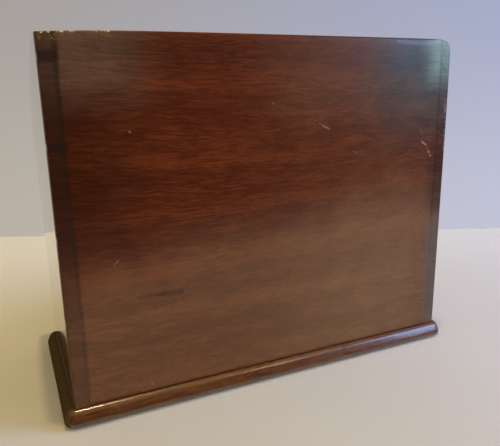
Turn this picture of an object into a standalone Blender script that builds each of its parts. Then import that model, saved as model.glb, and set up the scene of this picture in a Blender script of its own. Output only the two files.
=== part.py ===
"""Letter rack of polished mahogany: a dovetailed case with four letter compartments on a bullnosed base.

The back board is cut with tails and the two sides with pins, so the ends of the pins show on the
back. The front board and the dividers are housed in grooves in the sides and step up towards the
back. Screws come up through the base into the sides, and a sheet of baize covers their heads.

Metres, +Z up. The rack faces -Y and stands on z = 0, with its origin at the middle of its footprint.
"""

import math

import bmesh
import bpy

# The case
BODY_WIDTH = 0.238
BODY_DEPTH = 0.107
BODY_HEIGHT = 0.1859
SIDE_THICKNESS = 0.0075
BACK_THICKNESS = 0.007
FRONT_THICKNESS = 0.0065
DIVIDER_THICKNESS = 0.0045
DIVIDER_NAMES = ("divider_front", "divider_middle", "divider_rear")

# The sides' top edge runs level from the rear, then falls to the front in a quarter ellipse
LEVEL_TOP_LENGTH = 0.0092
CURVE_FALL = 0.0626
CURVE_STEPS = 28

# The front board and the dip in the middle of each housed board's top edge
FRONT_BOARD_HEIGHT = 0.088
FRONT_BOARD_SETBACK = 0.003
HOUSING_DEPTH = 0.0025
DIP_WIDTH = 0.118
DIP_DEPTH = 0.013
DIP_STEPS = 20

# Dovetails: a pin is widest at the side's inner face and narrowest at its outer face
PIN_INNER_WIDTH = 0.005
PIN_OUTER_WIDTH = 0.0032
HALF_PIN_INNER_HEIGHT = 0.0076
HALF_PIN_OUTER_HEIGHT = 0.0067
PIN_CENTRE_SHARES = (0.2492, 0.4804, 0.7204, 0.9357)

# Rounding of the boards' edges
EDGE_ROUND = 0.0008
DIVIDER_ROUND = 0.0016
ROUND_SEGMENTS = 3
WORN_CORNER_RADIUS = 0.0065
CORNER_STEPS = 8

# The base and the baize under it
BASE_THICKNESS = 0.0092
BASE_SIDE_OVERHANG = 0.006
BASE_BACK_OVERHANG = 0.0043
BASE_FRONT_OVERHANG = 0.001
BASE_CORNER_RADIUS = 0.0062
NOSE_FLAT_HEIGHT = 0.0003
NOSE_SEGMENTS = 10
BAIZE_THICKNESS = 0.0006
BAIZE_INSET = 0.006
BAIZE_CORNER_RADIUS = 0.004

# The screws
SCREW_LENGTH = 0.0215
SCREW_SHANK_RADIUS = 0.0013
SCREW_HEAD_RADIUS = 0.0026
SCREW_HEAD_HEIGHT = 0.0017
SCREW_POINT_LENGTH = 0.004
SCREW_RECESS = 0.0002
SLOT_WIDTH = 0.0007
SLOT_DEPTH = 0.0007
ROUND_STEPS = 16

# Glue line between touching pieces, and how far a cutter runs past what it cuts
JOINT_GAP = 0.0003
OVERRUN = 0.002
WELD_DISTANCE = 0.00002

# Levels and places worked out from the sizes above
BASE_BOTTOM = BAIZE_THICKNESS + JOINT_GAP
BASE_TOP = BASE_BOTTOM + BASE_THICKNESS
BODY_BOTTOM = BASE_TOP + JOINT_GAP
BOARD_HEIGHT = BODY_HEIGHT - JOINT_GAP
BASE_WIDTH = BODY_WIDTH + 2 * BASE_SIDE_OVERHANG
BASE_DEPTH = BODY_DEPTH + BASE_BACK_OVERHANG + BASE_FRONT_OVERHANG
REAR_Y = BASE_DEPTH / 2 - BASE_BACK_OVERHANG
FRONT_Y = REAR_Y - BODY_DEPTH
INNER_HALF_WIDTH = BODY_WIDTH / 2 - SIDE_THICKNESS
SIDE_CENTRE_X = BODY_WIDTH / 2 - SIDE_THICKNESS / 2
BACK_CENTRE_Y = REAR_Y - BACK_THICKNESS / 2
FRONT_CENTRE_Y = FRONT_Y + FRONT_BOARD_SETBACK + FRONT_THICKNESS / 2
DIVIDER_COUNT = len(DIVIDER_NAMES)

UPRIGHT_FACING_BACK = (math.pi / 2, 0, 0)
UPRIGHT_FACING_SIDE = (math.pi / 2, 0, math.pi / 2)
FLAT = (0, 0, 0)

POLISHED_MAHOGANY = ("polished_mahogany", (0.115, 0.030, 0.012, 1), 0.22, 0)
BASE_MAHOGANY = ("base_mahogany", (0.140, 0.042, 0.017, 1), 0.22, 0)
DIVIDER_MAHOGANY = ("divider_mahogany", (0.150, 0.052, 0.024, 1), 0.38, 0)
SCREW_STEEL = ("screw_steel", (0.230, 0.215, 0.195, 1), 0.45, 1)
GREEN_BAIZE = ("green_baize", (0.022, 0.085, 0.038, 1), 0.95, 0)


def clear_scene():
    """Removes what the file opened with."""
    for obj in list(bpy.data.objects):
        bpy.data.objects.remove(obj, do_unlink=True)


def new_collection(name, parent):
    """Adds a collection inside another one."""
    collection = bpy.data.collections.new(name)
    parent.children.link(collection)
    return collection


def new_material(name, colour, roughness, metallic):
    """Returns a Principled material, made once for each name."""
    found = bpy.data.materials.get(name)
    if found:
        return found
    material = bpy.data.materials.new(name)
    material.use_nodes = True
    shader = material.node_tree.nodes["Principled BSDF"]
    shader.inputs["Base Color"].default_value = colour
    shader.inputs["Roughness"].default_value = roughness
    shader.inputs["Metallic"].default_value = metallic
    material.diffuse_color = colour
    return material


def evaluated_mesh(obj):
    """Returns a new mesh of an object with its modifiers applied."""
    bpy.context.view_layer.update()
    graph = bpy.context.evaluated_depsgraph_get()
    return bpy.data.meshes.new_from_object(obj.evaluated_get(graph))


def clean_mesh(mesh):
    """Welds a mesh, joins its coplanar faces and turns its faces outwards."""
    work = bmesh.new()
    work.from_mesh(mesh)
    bmesh.ops.remove_doubles(work, verts=work.verts, dist=WELD_DISTANCE)
    flat_angle = math.radians(0.05)
    bmesh.ops.dissolve_limit(work, angle_limit=flat_angle, verts=work.verts, edges=work.edges)
    bmesh.ops.recalc_face_normals(work, faces=work.faces)
    work.to_mesh(mesh)
    work.free()


def slab_mesh(name, outline, thickness):
    """Returns a closed slab: a flat outline in local X and Y, thickened evenly both ways along local Z."""
    curve = bpy.data.curves.new(name + "_outline", "CURVE")
    curve.dimensions = "2D"
    curve.fill_mode = "BOTH"
    curve.extrude = thickness / 2
    spline = curve.splines.new("POLY")
    spline.points.add(len(outline) - 1)
    for point, (x, y) in zip(spline.points, outline):
        point.co = (x, y, 0, 1)
    spline.use_cyclic_u = True
    outline_object = bpy.data.objects.new(name + "_outline", curve)
    bpy.context.scene.collection.objects.link(outline_object)
    mesh = evaluated_mesh(outline_object)
    bpy.data.objects.remove(outline_object, do_unlink=True)
    bpy.data.curves.remove(curve)
    mesh.name = name
    clean_mesh(mesh)
    return mesh


def turned_mesh(name, profile):
    """Returns a closed turned shape. The profile holds (radius, height) points from its top end to its bottom."""
    mesh = bpy.data.meshes.new(name)
    points = [(radius, 0, height) for radius, height in profile]
    edges = [(index, index + 1) for index in range(len(points) - 1)]
    mesh.from_pydata(points, edges, [])
    holder = bpy.data.objects.new(name + "_profile", mesh)
    bpy.context.scene.collection.objects.link(holder)
    screw = holder.modifiers.new("turn", "SCREW")
    screw.steps = ROUND_STEPS
    screw.render_steps = ROUND_STEPS
    screw.use_merge_vertices = True
    screw.merge_threshold = WELD_DISTANCE
    turned = evaluated_mesh(holder)
    bpy.data.objects.remove(holder, do_unlink=True)
    turned.name = name
    clean_mesh(turned)
    return turned


def place(name, mesh, collection, location, rotation):
    """Adds an object for a mesh."""
    obj = bpy.data.objects.new(name, mesh)
    collection.objects.link(obj)
    obj.location = location
    obj.rotation_euler = rotation
    return obj


def place_cutter(name, mesh, collection, location, rotation):
    """Adds a cutter, which is drawn as wire and never rendered."""
    cutter = place(name, mesh, collection, location, rotation)
    cutter.hide_render = True
    cutter.display_type = "WIRE"
    return cutter


def dress_mesh(mesh, material):
    """Gives a mesh its material, and smooth shading across its shallow edges."""
    mesh.materials.append(new_material(*material))
    mesh.shade_smooth()
    mesh.set_sharp_from_angle(angle=math.radians(35))


def finish_piece(obj, root, material):
    """Parents a piece to the rack's empty and dresses its mesh."""
    obj.parent = root
    dress_mesh(obj.data, material)


def round_edges(obj, radius, segments, wanted):
    """Rounds the edges that wanted accepts. It is given an edge's two ends in the slab's own axes."""
    mesh = obj.data
    weights = mesh.attributes.new("bevel_weight_edge", "FLOAT", "EDGE")
    for edge in mesh.edges:
        first, second = (mesh.vertices[index].co for index in edge.vertices)
        weights.data[edge.index].value = 1 if wanted(first, second) else 0
    bevel = obj.modifiers.new("rounded_edges", "BEVEL")
    bevel.limit_method = "WEIGHT"
    bevel.width = radius
    bevel.segments = segments
    bevel.use_clamp_overlap = True


def cut_with(obj, cutters):
    """Cuts a piece with every object in a collection of cutters."""
    boolean = obj.modifiers.new("cuts", "BOOLEAN")
    boolean.operation = "DIFFERENCE"
    boolean.operand_type = "COLLECTION"
    boolean.solver = "EXACT"
    boolean.collection = cutters


def box_outline(low_x, low_y, high_x, high_y):
    """Returns a rectangle's corners."""
    return [(low_x, low_y), (high_x, low_y), (high_x, high_y), (low_x, high_y)]


def arc_points(centre_x, centre_y, radius, start, end, steps):
    """Returns the points of an arc between two angles in radians, both ends included."""
    points = []
    for index in range(steps + 1):
        angle = start + (end - start) * index / steps
        points.append((centre_x + radius * math.cos(angle), centre_y + radius * math.sin(angle)))
    return points


def rounded_rectangle(width, depth, radius):
    """Returns a rectangle about the origin with four round corners."""
    corner_x = width / 2 - radius
    corner_y = depth / 2 - radius
    quarter = math.pi / 2
    points = []
    points += arc_points(corner_x, -corner_y, radius, -quarter, 0, CORNER_STEPS)
    points += arc_points(corner_x, corner_y, radius, 0, quarter, CORNER_STEPS)
    points += arc_points(-corner_x, corner_y, radius, quarter, 2 * quarter, CORNER_STEPS)
    points += arc_points(-corner_x, -corner_y, radius, 2 * quarter, 3 * quarter, CORNER_STEPS)
    return points


def compartment_depth():
    """Returns the clear depth of one letter compartment."""
    inside = BACK_CENTRE_Y - BACK_THICKNESS / 2 - FRONT_CENTRE_Y - FRONT_THICKNESS / 2
    return (inside - DIVIDER_COUNT * DIVIDER_THICKNESS) / (DIVIDER_COUNT + 1)


def housed_boards():
    """Returns (name, middle in Y, thickness, height) of the front board and the dividers, front to rear."""
    boards = [("front_board", FRONT_CENTRE_Y, FRONT_THICKNESS, FRONT_BOARD_HEIGHT)]
    step = (BODY_HEIGHT - FRONT_BOARD_HEIGHT) / (DIVIDER_COUNT + 1)
    pitch = compartment_depth() + DIVIDER_THICKNESS
    first_y = FRONT_CENTRE_Y + FRONT_THICKNESS / 2 + compartment_depth() + DIVIDER_THICKNESS / 2
    for index, name in enumerate(DIVIDER_NAMES):
        height = FRONT_BOARD_HEIGHT + step * (index + 1)
        boards.append((name, first_y + pitch * index, DIVIDER_THICKNESS, height))
    return boards


def screw_places(side):
    """Returns the (x, y) of the two screws in a side, beside the front and the rear compartment."""
    front_y = FRONT_CENTRE_Y + FRONT_THICKNESS / 2 + compartment_depth() / 2
    rear_y = BACK_CENTRE_Y - BACK_THICKNESS / 2 - compartment_depth() / 2
    return [(side * SIDE_CENTRE_X, front_y), (side * SIDE_CENTRE_X, rear_y)]


def pin_half_width(inward):
    """Returns half a pin's width at a distance in from the side's outer face."""
    slope = (PIN_INNER_WIDTH - PIN_OUTER_WIDTH) / SIDE_THICKNESS
    return (PIN_OUTER_WIDTH + slope * inward) / 2


def half_pin_height(inward):
    """Returns the bottom half pin's height at a distance in from the side's outer face."""
    slope = (HALF_PIN_INNER_HEIGHT - HALF_PIN_OUTER_HEIGHT) / SIDE_THICKNESS
    return HALF_PIN_OUTER_HEIGHT + slope * inward


def pin_spans(inward):
    """Returns the (low, high) heights of the pins, from the bottom up, at a distance in from the outer face."""
    spans = [(-OVERRUN, half_pin_height(inward))]
    for share in PIN_CENTRE_SHARES:
        centre = BOARD_HEIGHT * share
        half = pin_half_width(inward)
        spans.append((centre - half, centre + half))
    return spans


def trapezium(side, outer, inner, outer_span, inner_span):
    """Returns a four-sided outline between two distances in from the outer face, on the side given by 1 or -1."""
    outer_x = side * (BODY_WIDTH / 2 - outer)
    inner_x = side * (BODY_WIDTH / 2 - inner)
    return [
        (outer_x, outer_span[0]),
        (inner_x, inner_span[0]),
        (inner_x, inner_span[1]),
        (outer_x, outer_span[1]),
    ]


def socket_outlines(side):
    """Returns the sockets cut in the back board: each pin with the glue line round it."""
    inner = SIDE_THICKNESS + JOINT_GAP
    outlines = []
    for outer_span, inner_span in zip(pin_spans(-OVERRUN), pin_spans(inner)):
        outer_wide = (outer_span[0] - JOINT_GAP, outer_span[1] + JOINT_GAP)
        inner_wide = (inner_span[0] - JOINT_GAP, inner_span[1] + JOINT_GAP)
        outlines.append(trapezium(side, -OVERRUN, inner, outer_wide, inner_wide))
    return outlines


def tail_outlines(side):
    """Returns the spaces between a side's pins, which the tails of the back board fill."""
    inner = SIDE_THICKNESS + OVERRUN
    above = BOARD_HEIGHT + OVERRUN
    outer_spans = pin_spans(-OVERRUN) + [(above, above)]
    inner_spans = pin_spans(inner) + [(above, above)]
    outlines = []
    for index in range(len(outer_spans) - 1):
        outer_gap = (outer_spans[index][1], outer_spans[index + 1][0])
        inner_gap = (inner_spans[index][1], inner_spans[index + 1][0])
        outlines.append(trapezium(side, -OVERRUN, inner, outer_gap, inner_gap))
    return outlines


def add_prisms(name, outlines, thickness, centre_y, cutters):
    """Adds upright cutters whose outlines lie in X and Z, thickened along Y about centre_y."""
    for index, outline in enumerate(outlines):
        piece_name = f"{name}_{index}"
        mesh = slab_mesh(piece_name, outline, thickness)
        place_cutter(piece_name, mesh, cutters, (0, centre_y, BODY_BOTTOM), UPRIGHT_FACING_BACK)


def add_pilot_holes(name, places, cutters):
    """Adds the holes that the screws fill in the boards above the base."""
    radius = SCREW_SHANK_RADIUS + JOINT_GAP
    top = BASE_BOTTOM + SCREW_RECESS + SCREW_LENGTH + JOINT_GAP
    bottom = BASE_TOP - OVERRUN
    for index, (x, y) in enumerate(places):
        mesh = turned_mesh(f"{name}_hole_{index}", [(0, top), (radius, top), (radius, bottom), (0, bottom)])
        place_cutter(mesh.name, mesh, cutters, (x, y, 0), FLAT)


def side_outline():
    """Returns a side seen from +X: local X runs from the rear edge at 0 to the front, local Y is height."""
    run = BODY_DEPTH - LEVEL_TOP_LENGTH
    points = [(-BODY_DEPTH, 0), (0, 0), (0, BOARD_HEIGHT)]
    for index in range(CURVE_STEPS + 1):
        angle = math.pi / 2 * (1 - index / CURVE_STEPS)
        along = LEVEL_TOP_LENGTH + run * math.cos(angle)
        up = BOARD_HEIGHT - CURVE_FALL * (1 - math.sin(angle))
        points.append((-along, up))
    return points


def make_side(name, side, root, parts, cuts):
    """Makes one side board with its pins, its grooves for the housed boards and its screw holes."""
    mesh = slab_mesh(name, side_outline(), SIDE_THICKNESS)
    board = place(name, mesh, parts, (side * SIDE_CENTRE_X, REAR_Y, BODY_BOTTOM), UPRIGHT_FACING_SIDE)

    def shows(first, second):
        same_face = abs(first.z - second.z) < WELD_DISTANCE
        at_bottom = max(first.y, second.y) < WELD_DISTANCE
        at_rear = min(first.x, second.x) > -WELD_DISTANCE
        inner_face = side * first.z < 0
        return same_face and not at_bottom and not (at_rear and inner_face)

    round_edges(board, EDGE_ROUND, ROUND_SEGMENTS, shows)
    cutters = new_collection(name + "_cutters", cuts)
    pin_length = BACK_THICKNESS + JOINT_GAP
    tail_centre = REAR_Y - (pin_length - OVERRUN) / 2
    add_prisms(name + "_tail", tail_outlines(side), pin_length + OVERRUN, tail_centre, cutters)
    for board_name, centre_y, thickness, height in housed_boards():
        outer = SIDE_THICKNESS - HOUSING_DEPTH - JOINT_GAP
        span = (-OVERRUN, height + JOINT_GAP)
        outline = trapezium(side, outer, SIDE_THICKNESS + OVERRUN, span, span)
        groove = f"{name}_{board_name}_groove"
        add_prisms(groove, [outline], thickness + 2 * JOINT_GAP, centre_y, cutters)
    add_pilot_holes(name, screw_places(side), cutters)
    cut_with(board, cutters)
    finish_piece(board, root, POLISHED_MAHOGANY)


def back_outline():
    """Returns the back board's outline, with its worn top corner at -X."""
    half = BODY_WIDTH / 2
    points = [(-half, 0), (half, 0), (half, BOARD_HEIGHT)]
    corner_x = WORN_CORNER_RADIUS - half
    corner_y = BOARD_HEIGHT - WORN_CORNER_RADIUS
    points += arc_points(corner_x, corner_y, WORN_CORNER_RADIUS, math.pi / 2, math.pi, CORNER_STEPS)
    return points


def make_back(root, parts, cuts):
    """Makes the back board with the sockets for the pins at both ends."""
    name = "back_board"
    mesh = slab_mesh(name, back_outline(), BACK_THICKNESS)
    board = place(name, mesh, parts, (0, BACK_CENTRE_Y, BODY_BOTTOM), UPRIGHT_FACING_BACK)

    def shows(first, second):
        same_face = abs(first.z - second.z) < WELD_DISTANCE
        at_bottom = max(first.y, second.y) < WELD_DISTANCE
        upright = abs(first.x - second.x) < WELD_DISTANCE
        rear_face = first.z < 0
        return same_face and not at_bottom and (rear_face or not upright)

    round_edges(board, EDGE_ROUND, ROUND_SEGMENTS, shows)
    cutters = new_collection(name + "_cutters", cuts)
    for side, label in ((-1, "left"), (1, "right")):
        outlines = socket_outlines(side)
        add_prisms(f"{name}_{label}_socket", outlines, BACK_THICKNESS + 2 * OVERRUN, BACK_CENTRE_Y, cutters)
    cut_with(board, cutters)
    finish_piece(board, root, POLISHED_MAHOGANY)


def dipped_outline(height):
    """Returns a housed board's outline. Its top dips in the middle by a cosine wave that is level at both ends."""
    half = INNER_HALF_WIDTH + HOUSING_DEPTH
    points = [(-half, 0), (half, 0), (half, height)]
    for index in range(DIP_STEPS + 1):
        share = 1 - 2 * index / DIP_STEPS
        drop = DIP_DEPTH * (1 + math.cos(math.pi * share)) / 2
        points.append((share * DIP_WIDTH / 2, height - drop))
    points.append((-half, height))
    return points


def make_housed_board(name, centre_y, thickness, height, root, parts):
    """Makes the front board or a divider, with a rounded top edge. Its ends sit in the sides' grooves."""
    board_height = height - JOINT_GAP
    mesh = slab_mesh(name, dipped_outline(board_height), thickness)
    board = place(name, mesh, parts, (0, centre_y, BODY_BOTTOM), UPRIGHT_FACING_BACK)
    lowest = board_height - DIP_DEPTH - WELD_DISTANCE

    def shows(first, second):
        same_face = abs(first.z - second.z) < WELD_DISTANCE
        return same_face and min(first.y, second.y) > lowest

    round_edges(board, DIVIDER_ROUND, ROUND_SEGMENTS, shows)
    finish = POLISHED_MAHOGANY if name == "front_board" else DIVIDER_MAHOGANY
    finish_piece(board, root, finish)


def make_base(root, parts, cuts):
    """Makes the base board with a bullnosed edge all round and countersunk screw holes from below."""
    name = "base_board"
    outline = rounded_rectangle(BASE_WIDTH, BASE_DEPTH, BASE_CORNER_RADIUS)
    mesh = slab_mesh(name, outline, BASE_THICKNESS)
    board = place(name, mesh, parts, (0, 0, BASE_BOTTOM + BASE_THICKNESS / 2), FLAT)

    def rim(first, second):
        return abs(first.z - second.z) < WELD_DISTANCE

    nose_radius = (BASE_THICKNESS - NOSE_FLAT_HEIGHT) / 2
    round_edges(board, nose_radius, NOSE_SEGMENTS, rim)
    cutters = new_collection(name + "_cutters", cuts)
    radius = SCREW_SHANK_RADIUS + JOINT_GAP
    head_radius = SCREW_HEAD_RADIUS + JOINT_GAP
    seat = BASE_BOTTOM + SCREW_RECESS
    profile = [
        (0, BASE_TOP + OVERRUN),
        (radius, BASE_TOP + OVERRUN),
        (radius, seat + SCREW_HEAD_HEIGHT),
        (head_radius, seat),
        (head_radius, BASE_BOTTOM - OVERRUN),
        (0, BASE_BOTTOM - OVERRUN),
    ]
    for index, (x, y) in enumerate(screw_places(-1) + screw_places(1)):
        hole = turned_mesh(f"{name}_hole_{index}", profile)
        place_cutter(hole.name, hole, cutters, (x, y, 0), FLAT)
    cut_with(board, cutters)
    finish_piece(board, root, BASE_MAHOGANY)


def make_baize(root, parts):
    """Makes the baize sheet that the rack stands on."""
    width = BASE_WIDTH - 2 * BAIZE_INSET
    depth = BASE_DEPTH - 2 * BAIZE_INSET
    mesh = slab_mesh("baize_sheet", rounded_rectangle(width, depth, BAIZE_CORNER_RADIUS), BAIZE_THICKNESS)
    sheet = place("baize_sheet", mesh, parts, (0, 0, BAIZE_THICKNESS / 2), FLAT)
    finish_piece(sheet, root, GREEN_BAIZE)


def screw_mesh(cuts):
    """Returns one slotted countersunk screw, standing on its head at the origin."""
    profile = [
        (0, SCREW_LENGTH),
        (SCREW_SHANK_RADIUS, SCREW_LENGTH - SCREW_POINT_LENGTH),
        (SCREW_SHANK_RADIUS, SCREW_HEAD_HEIGHT),
        (SCREW_HEAD_RADIUS, 0),
        (0, 0),
    ]
    screw = place("screw_blank", turned_mesh("screw_blank", profile), cuts, (0, 0, 0), FLAT)
    slot_length = SCREW_HEAD_RADIUS + OVERRUN
    outline = box_outline(-slot_length, -SLOT_WIDTH / 2, slot_length, SLOT_WIDTH / 2)
    slot_height = SLOT_DEPTH + OVERRUN
    cutters = new_collection("screw_cutters", cuts)
    slot = slab_mesh("screw_slot", outline, slot_height)
    place_cutter("screw_slot", slot, cutters, (0, 0, SLOT_DEPTH - slot_height / 2), FLAT)
    cut_with(screw, cutters)
    mesh = evaluated_mesh(screw)
    bpy.data.objects.remove(screw, do_unlink=True)
    return mesh


def make_screws(root, parts, cuts):
    """Makes the screws, which share one mesh and are each turned a little further than the last."""
    mesh = screw_mesh(cuts)
    dress_mesh(mesh, SCREW_STEEL)
    places = screw_places(-1) + screw_places(1)
    for index, (x, y) in enumerate(places):
        turn = (0, 0, math.pi * index / len(places))
        screw = place(f"base_screw_{index + 1}", mesh, parts, (x, y, BASE_BOTTOM + SCREW_RECESS), turn)
        screw.parent = root


def main():
    """Makes the rack."""
    clear_scene()
    scene_collection = bpy.context.scene.collection
    parts = new_collection("letter_rack", scene_collection)
    cuts = new_collection("cutters", scene_collection)
    root = bpy.data.objects.new("letter_rack_origin", None)
    parts.objects.link(root)
    make_base(root, parts, cuts)
    make_baize(root, parts)
    make_back(root, parts, cuts)
    make_side("side_left", -1, root, parts, cuts)
    make_side("side_right", 1, root, parts, cuts)
    for board in housed_boards():
        make_housed_board(*board, root, parts)
    make_screws(root, parts, cuts)


main()
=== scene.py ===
"""A letter rack in polished mahogany, dressed: dovetailed boards on a bullnosed base."""

import logging
import math
from dataclasses import dataclass
from enum import Enum

import bpy
import numpy as np
from mathutils import Matrix, Vector


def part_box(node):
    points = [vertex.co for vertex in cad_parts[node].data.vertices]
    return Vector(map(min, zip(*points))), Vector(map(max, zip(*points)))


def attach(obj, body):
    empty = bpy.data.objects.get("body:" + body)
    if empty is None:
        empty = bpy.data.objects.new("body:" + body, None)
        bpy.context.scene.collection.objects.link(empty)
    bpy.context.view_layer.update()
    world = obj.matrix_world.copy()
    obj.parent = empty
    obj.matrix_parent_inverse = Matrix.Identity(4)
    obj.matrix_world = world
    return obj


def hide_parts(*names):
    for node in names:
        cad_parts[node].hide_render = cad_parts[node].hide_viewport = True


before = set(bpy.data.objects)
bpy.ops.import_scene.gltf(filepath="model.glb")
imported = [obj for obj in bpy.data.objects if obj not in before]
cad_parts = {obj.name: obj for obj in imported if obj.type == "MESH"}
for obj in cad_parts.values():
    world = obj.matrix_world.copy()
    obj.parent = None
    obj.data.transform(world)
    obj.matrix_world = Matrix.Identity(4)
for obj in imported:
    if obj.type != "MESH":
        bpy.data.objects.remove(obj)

LOG = logging.getLogger("letter_rack")

# The rack's own sizes in metres, as its source gives them.
BODY_WIDTH = 0.238
BOARD_HEIGHT = 0.1856
BODY_DEPTH = 0.107
BODY_BOTTOM = 0.0104
REAR_Y = 0.05185
SIDE_THICKNESS = 0.0075
BACK_THICKNESS = 0.007
HALF_WIDTH = BODY_WIDTH / 2
INNER_HALF_WIDTH = HALF_WIDTH - SIDE_THICKNESS
HOUSING_DEPTH = 0.0025
JOINT_LINE = 0.00004
EDGE_ROUND = 0.0008
RIM_REACH = EDGE_ROUND * 1.01
PIN_CENTRES = tuple(BOARD_HEIGHT * share for share in (0.2492, 0.4804, 0.7204, 0.9357))
PIN_HALF_OUTER, PIN_HALF_INNER = 0.0016, 0.0025
HALF_PIN_OUTER, HALF_PIN_INNER = 0.0067, 0.0076

# Wear: the rear's rubbed corner as (depth, reach in X, reach in Z), and the top edge's fall at its other end.
REAR_WEAR = ((0.00085, 0.0075, 0.0170), (0.00060, 0.0240, 0.0030))
TOP_WEAR, TOP_WEAR_REACH, TOP_WEAR_START = 0.0016, 0.024, 0.1766

# The narrowest step of a grid, across which a wall stands, and a difference that only rounding makes.
HAIR = 1e-5
TINY = 1e-7

# The lengths of a swell's waves, as shares of its middle length: the shortest, and how much is drawn on top.
WAVE_LEAST, WAVE_SPREAD = 0.6, 0.9

# The points on a rounded corner seen from above, and the angle past which an edge stays sharp.
CORNER_POINTS, SHARP_DEGREES = 13, 50


class GrainAxis(Enum):
    """The way a board's grain runs, as the order (along, across, through) of X, Y and Z."""

    ALONG_X = ("X", "Z", "Y")
    ALONG_Y = ("Y", "Z", "X")
    FLAT_ALONG_X = ("X", "Y", "Z")


class Shape(Enum):
    """Which parts of a mark show: the whole line, or dots and dashes along it."""

    LINE = 0
    DASHES = 1


# Meshes


def filled(stops: list[float], step: float) -> np.ndarray:
    """Fills the gaps between stops evenly.

    Args:
        stops: positions that have to be on the grid, in rising order.
        step: the widest gap that may be left.

    Returns:
        The stops and the points between them, rising.
    """
    spans = [
        np.linspace(low, high, max(1, math.ceil((high - low) / step - TINY)) + 1)[:-1]
        for low, high in zip(stops[:-1], stops[1:])
        if high - low > TINY
    ]
    return np.concatenate(spans + [np.array([stops[-1]])])


def round_insets(radius: float, steps: int = 4) -> list[float]:
    """Distances in from an edge at which a quarter round's points lie: radius * (1 - sin(angle)).

    Args:
        radius: the round's radius.
        steps: the segments of the quarter round.

    Returns:
        The distances, from the flat face out to the edge itself, falling to 0.
    """
    angles = np.linspace(0, math.pi / 2, steps + 1)
    return list(radius * (1 - np.sin(angles)))


def round_drop(distance: np.ndarray, radius: float) -> np.ndarray:
    """How far a rounded edge has fallen below its face: r - sqrt(r^2 - (r - distance)^2), and 0 beyond r."""
    past = np.clip(1 - distance / radius, 0, 1)
    return radius * (1 - np.sqrt(np.clip(1 - past**2, 0, 1)))


def corner_drop(first: np.ndarray, second: np.ndarray, radius: float) -> np.ndarray:
    """A quarter round's fall where two edges meet.

    With a and b the shares of the radius past the round's start on each edge, the fall is
    r - r * sqrt(1 - (a^2 + b^2 - a^2 * b^2)), which is the plain quarter round along either edge.

    Args:
        first: distances to one edge.
        second: distances to the other.
        radius: the round's radius.

    Returns:
        The falls, from 0 on the face to the radius at either edge.
    """
    a = np.clip(1 - first / radius, 0, 1) ** 2
    b = np.clip(1 - second / radius, 0, 1) ** 2
    return radius * (1 - np.sqrt(np.clip(1 - (a + b - a * b), 0, 1)))


def round_corner(
    first: np.ndarray,
    second: np.ndarray,
    edges: tuple[float, float],
    signs: tuple[int, int],
    radii: tuple[float, float],
) -> tuple[np.ndarray, np.ndarray]:
    """Turns one square corner of a grid into a quarter ellipse.

    Past the ellipse's centre by the shares a and b of its radii, a point moves to the shares
    a * sqrt(1 - b^2 / 2) and b * sqrt(1 - a^2 / 2), so the square's two edges land on the ellipse.

    Args:
        first: the grid's first coordinate.
        second: the grid's second coordinate.
        edges: where the two edges that meet in the corner lie.
        signs: the side of the centre that each edge is on, 1 or -1.
        radii: the ellipse's radii along the two coordinates.

    Returns:
        The two coordinates after the move.
    """
    centres = [edge - sign * radius for edge, sign, radius in zip(edges, signs, radii)]
    a = np.clip((first - centres[0]) * signs[0] / radii[0], 0, 1)
    b = np.clip((second - centres[1]) * signs[1] / radii[1], 0, 1)
    inside = (a > 0) & (b > 0)
    moved_first = centres[0] + signs[0] * radii[0] * a * np.sqrt(1 - b**2 / 2)
    moved_second = centres[1] + signs[1] * radii[1] * b * np.sqrt(1 - a**2 / 2)
    return np.where(inside, moved_first, first), np.where(inside, moved_second, second)


def waves(first: np.ndarray, second: np.ndarray, length: float, seed: int, count: int = 7) -> np.ndarray:
    """A soft random swell between -1 and 1: the mean of some sine waves of different ways and lengths.

    Args:
        first: one coordinate of the points.
        second: the other.
        length: the middle wave length.
        seed: the seed of the ways, lengths and starts.
        count: how many waves.

    Returns:
        The swell at each point.
    """
    draws = np.random.default_rng(seed).random((count, 3))
    total = np.zeros(np.broadcast(first, second).shape)
    for turn, stretch, start in draws:
        way = 2 * math.pi * turn
        pitch = 2 * math.pi / (length * (WAVE_LEAST + WAVE_SPREAD * stretch))
        run = first * math.cos(way) + second * math.sin(way)
        total = total + np.sin(run * pitch + 2 * math.pi * start)
    return total / count


def rear_wear(x: np.ndarray, height: np.ndarray) -> np.ndarray:
    """How far the rear is rubbed away towards its worn top corner at -X.

    Each term is depth * exp(-distance to the end / reach) * exp(-distance to the top / reach).

    Args:
        x: the places in X.
        height: the heights above the board's bottom.

    Returns:
        The depths.
    """
    total = 0
    for depth, reach_x, reach_z in REAR_WEAR:
        beside, below = (HALF_WIDTH + x) / reach_x, (BOARD_HEIGHT - height) / reach_z
        total = total + depth * np.exp(-beside) * np.exp(-below)
    return total


def top_wear(x: np.ndarray, height: np.ndarray) -> np.ndarray:
    """How far the top edge has come down towards its +X end: depth * exp(-distance to the end / reach).

    Only the wood above the top pins moves, by a smooth step from their top to the edge.

    Args:
        x: the places in X.
        height: the heights above the board's bottom.

    Returns:
        The drops.
    """
    share = np.clip((height - TOP_WEAR_START) / (BOARD_HEIGHT - TOP_WEAR_START), 0, 1)
    return TOP_WEAR * np.exp(-(HALF_WIDTH - x) / TOP_WEAR_REACH) * share**2 * (3 - 2 * share)


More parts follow.
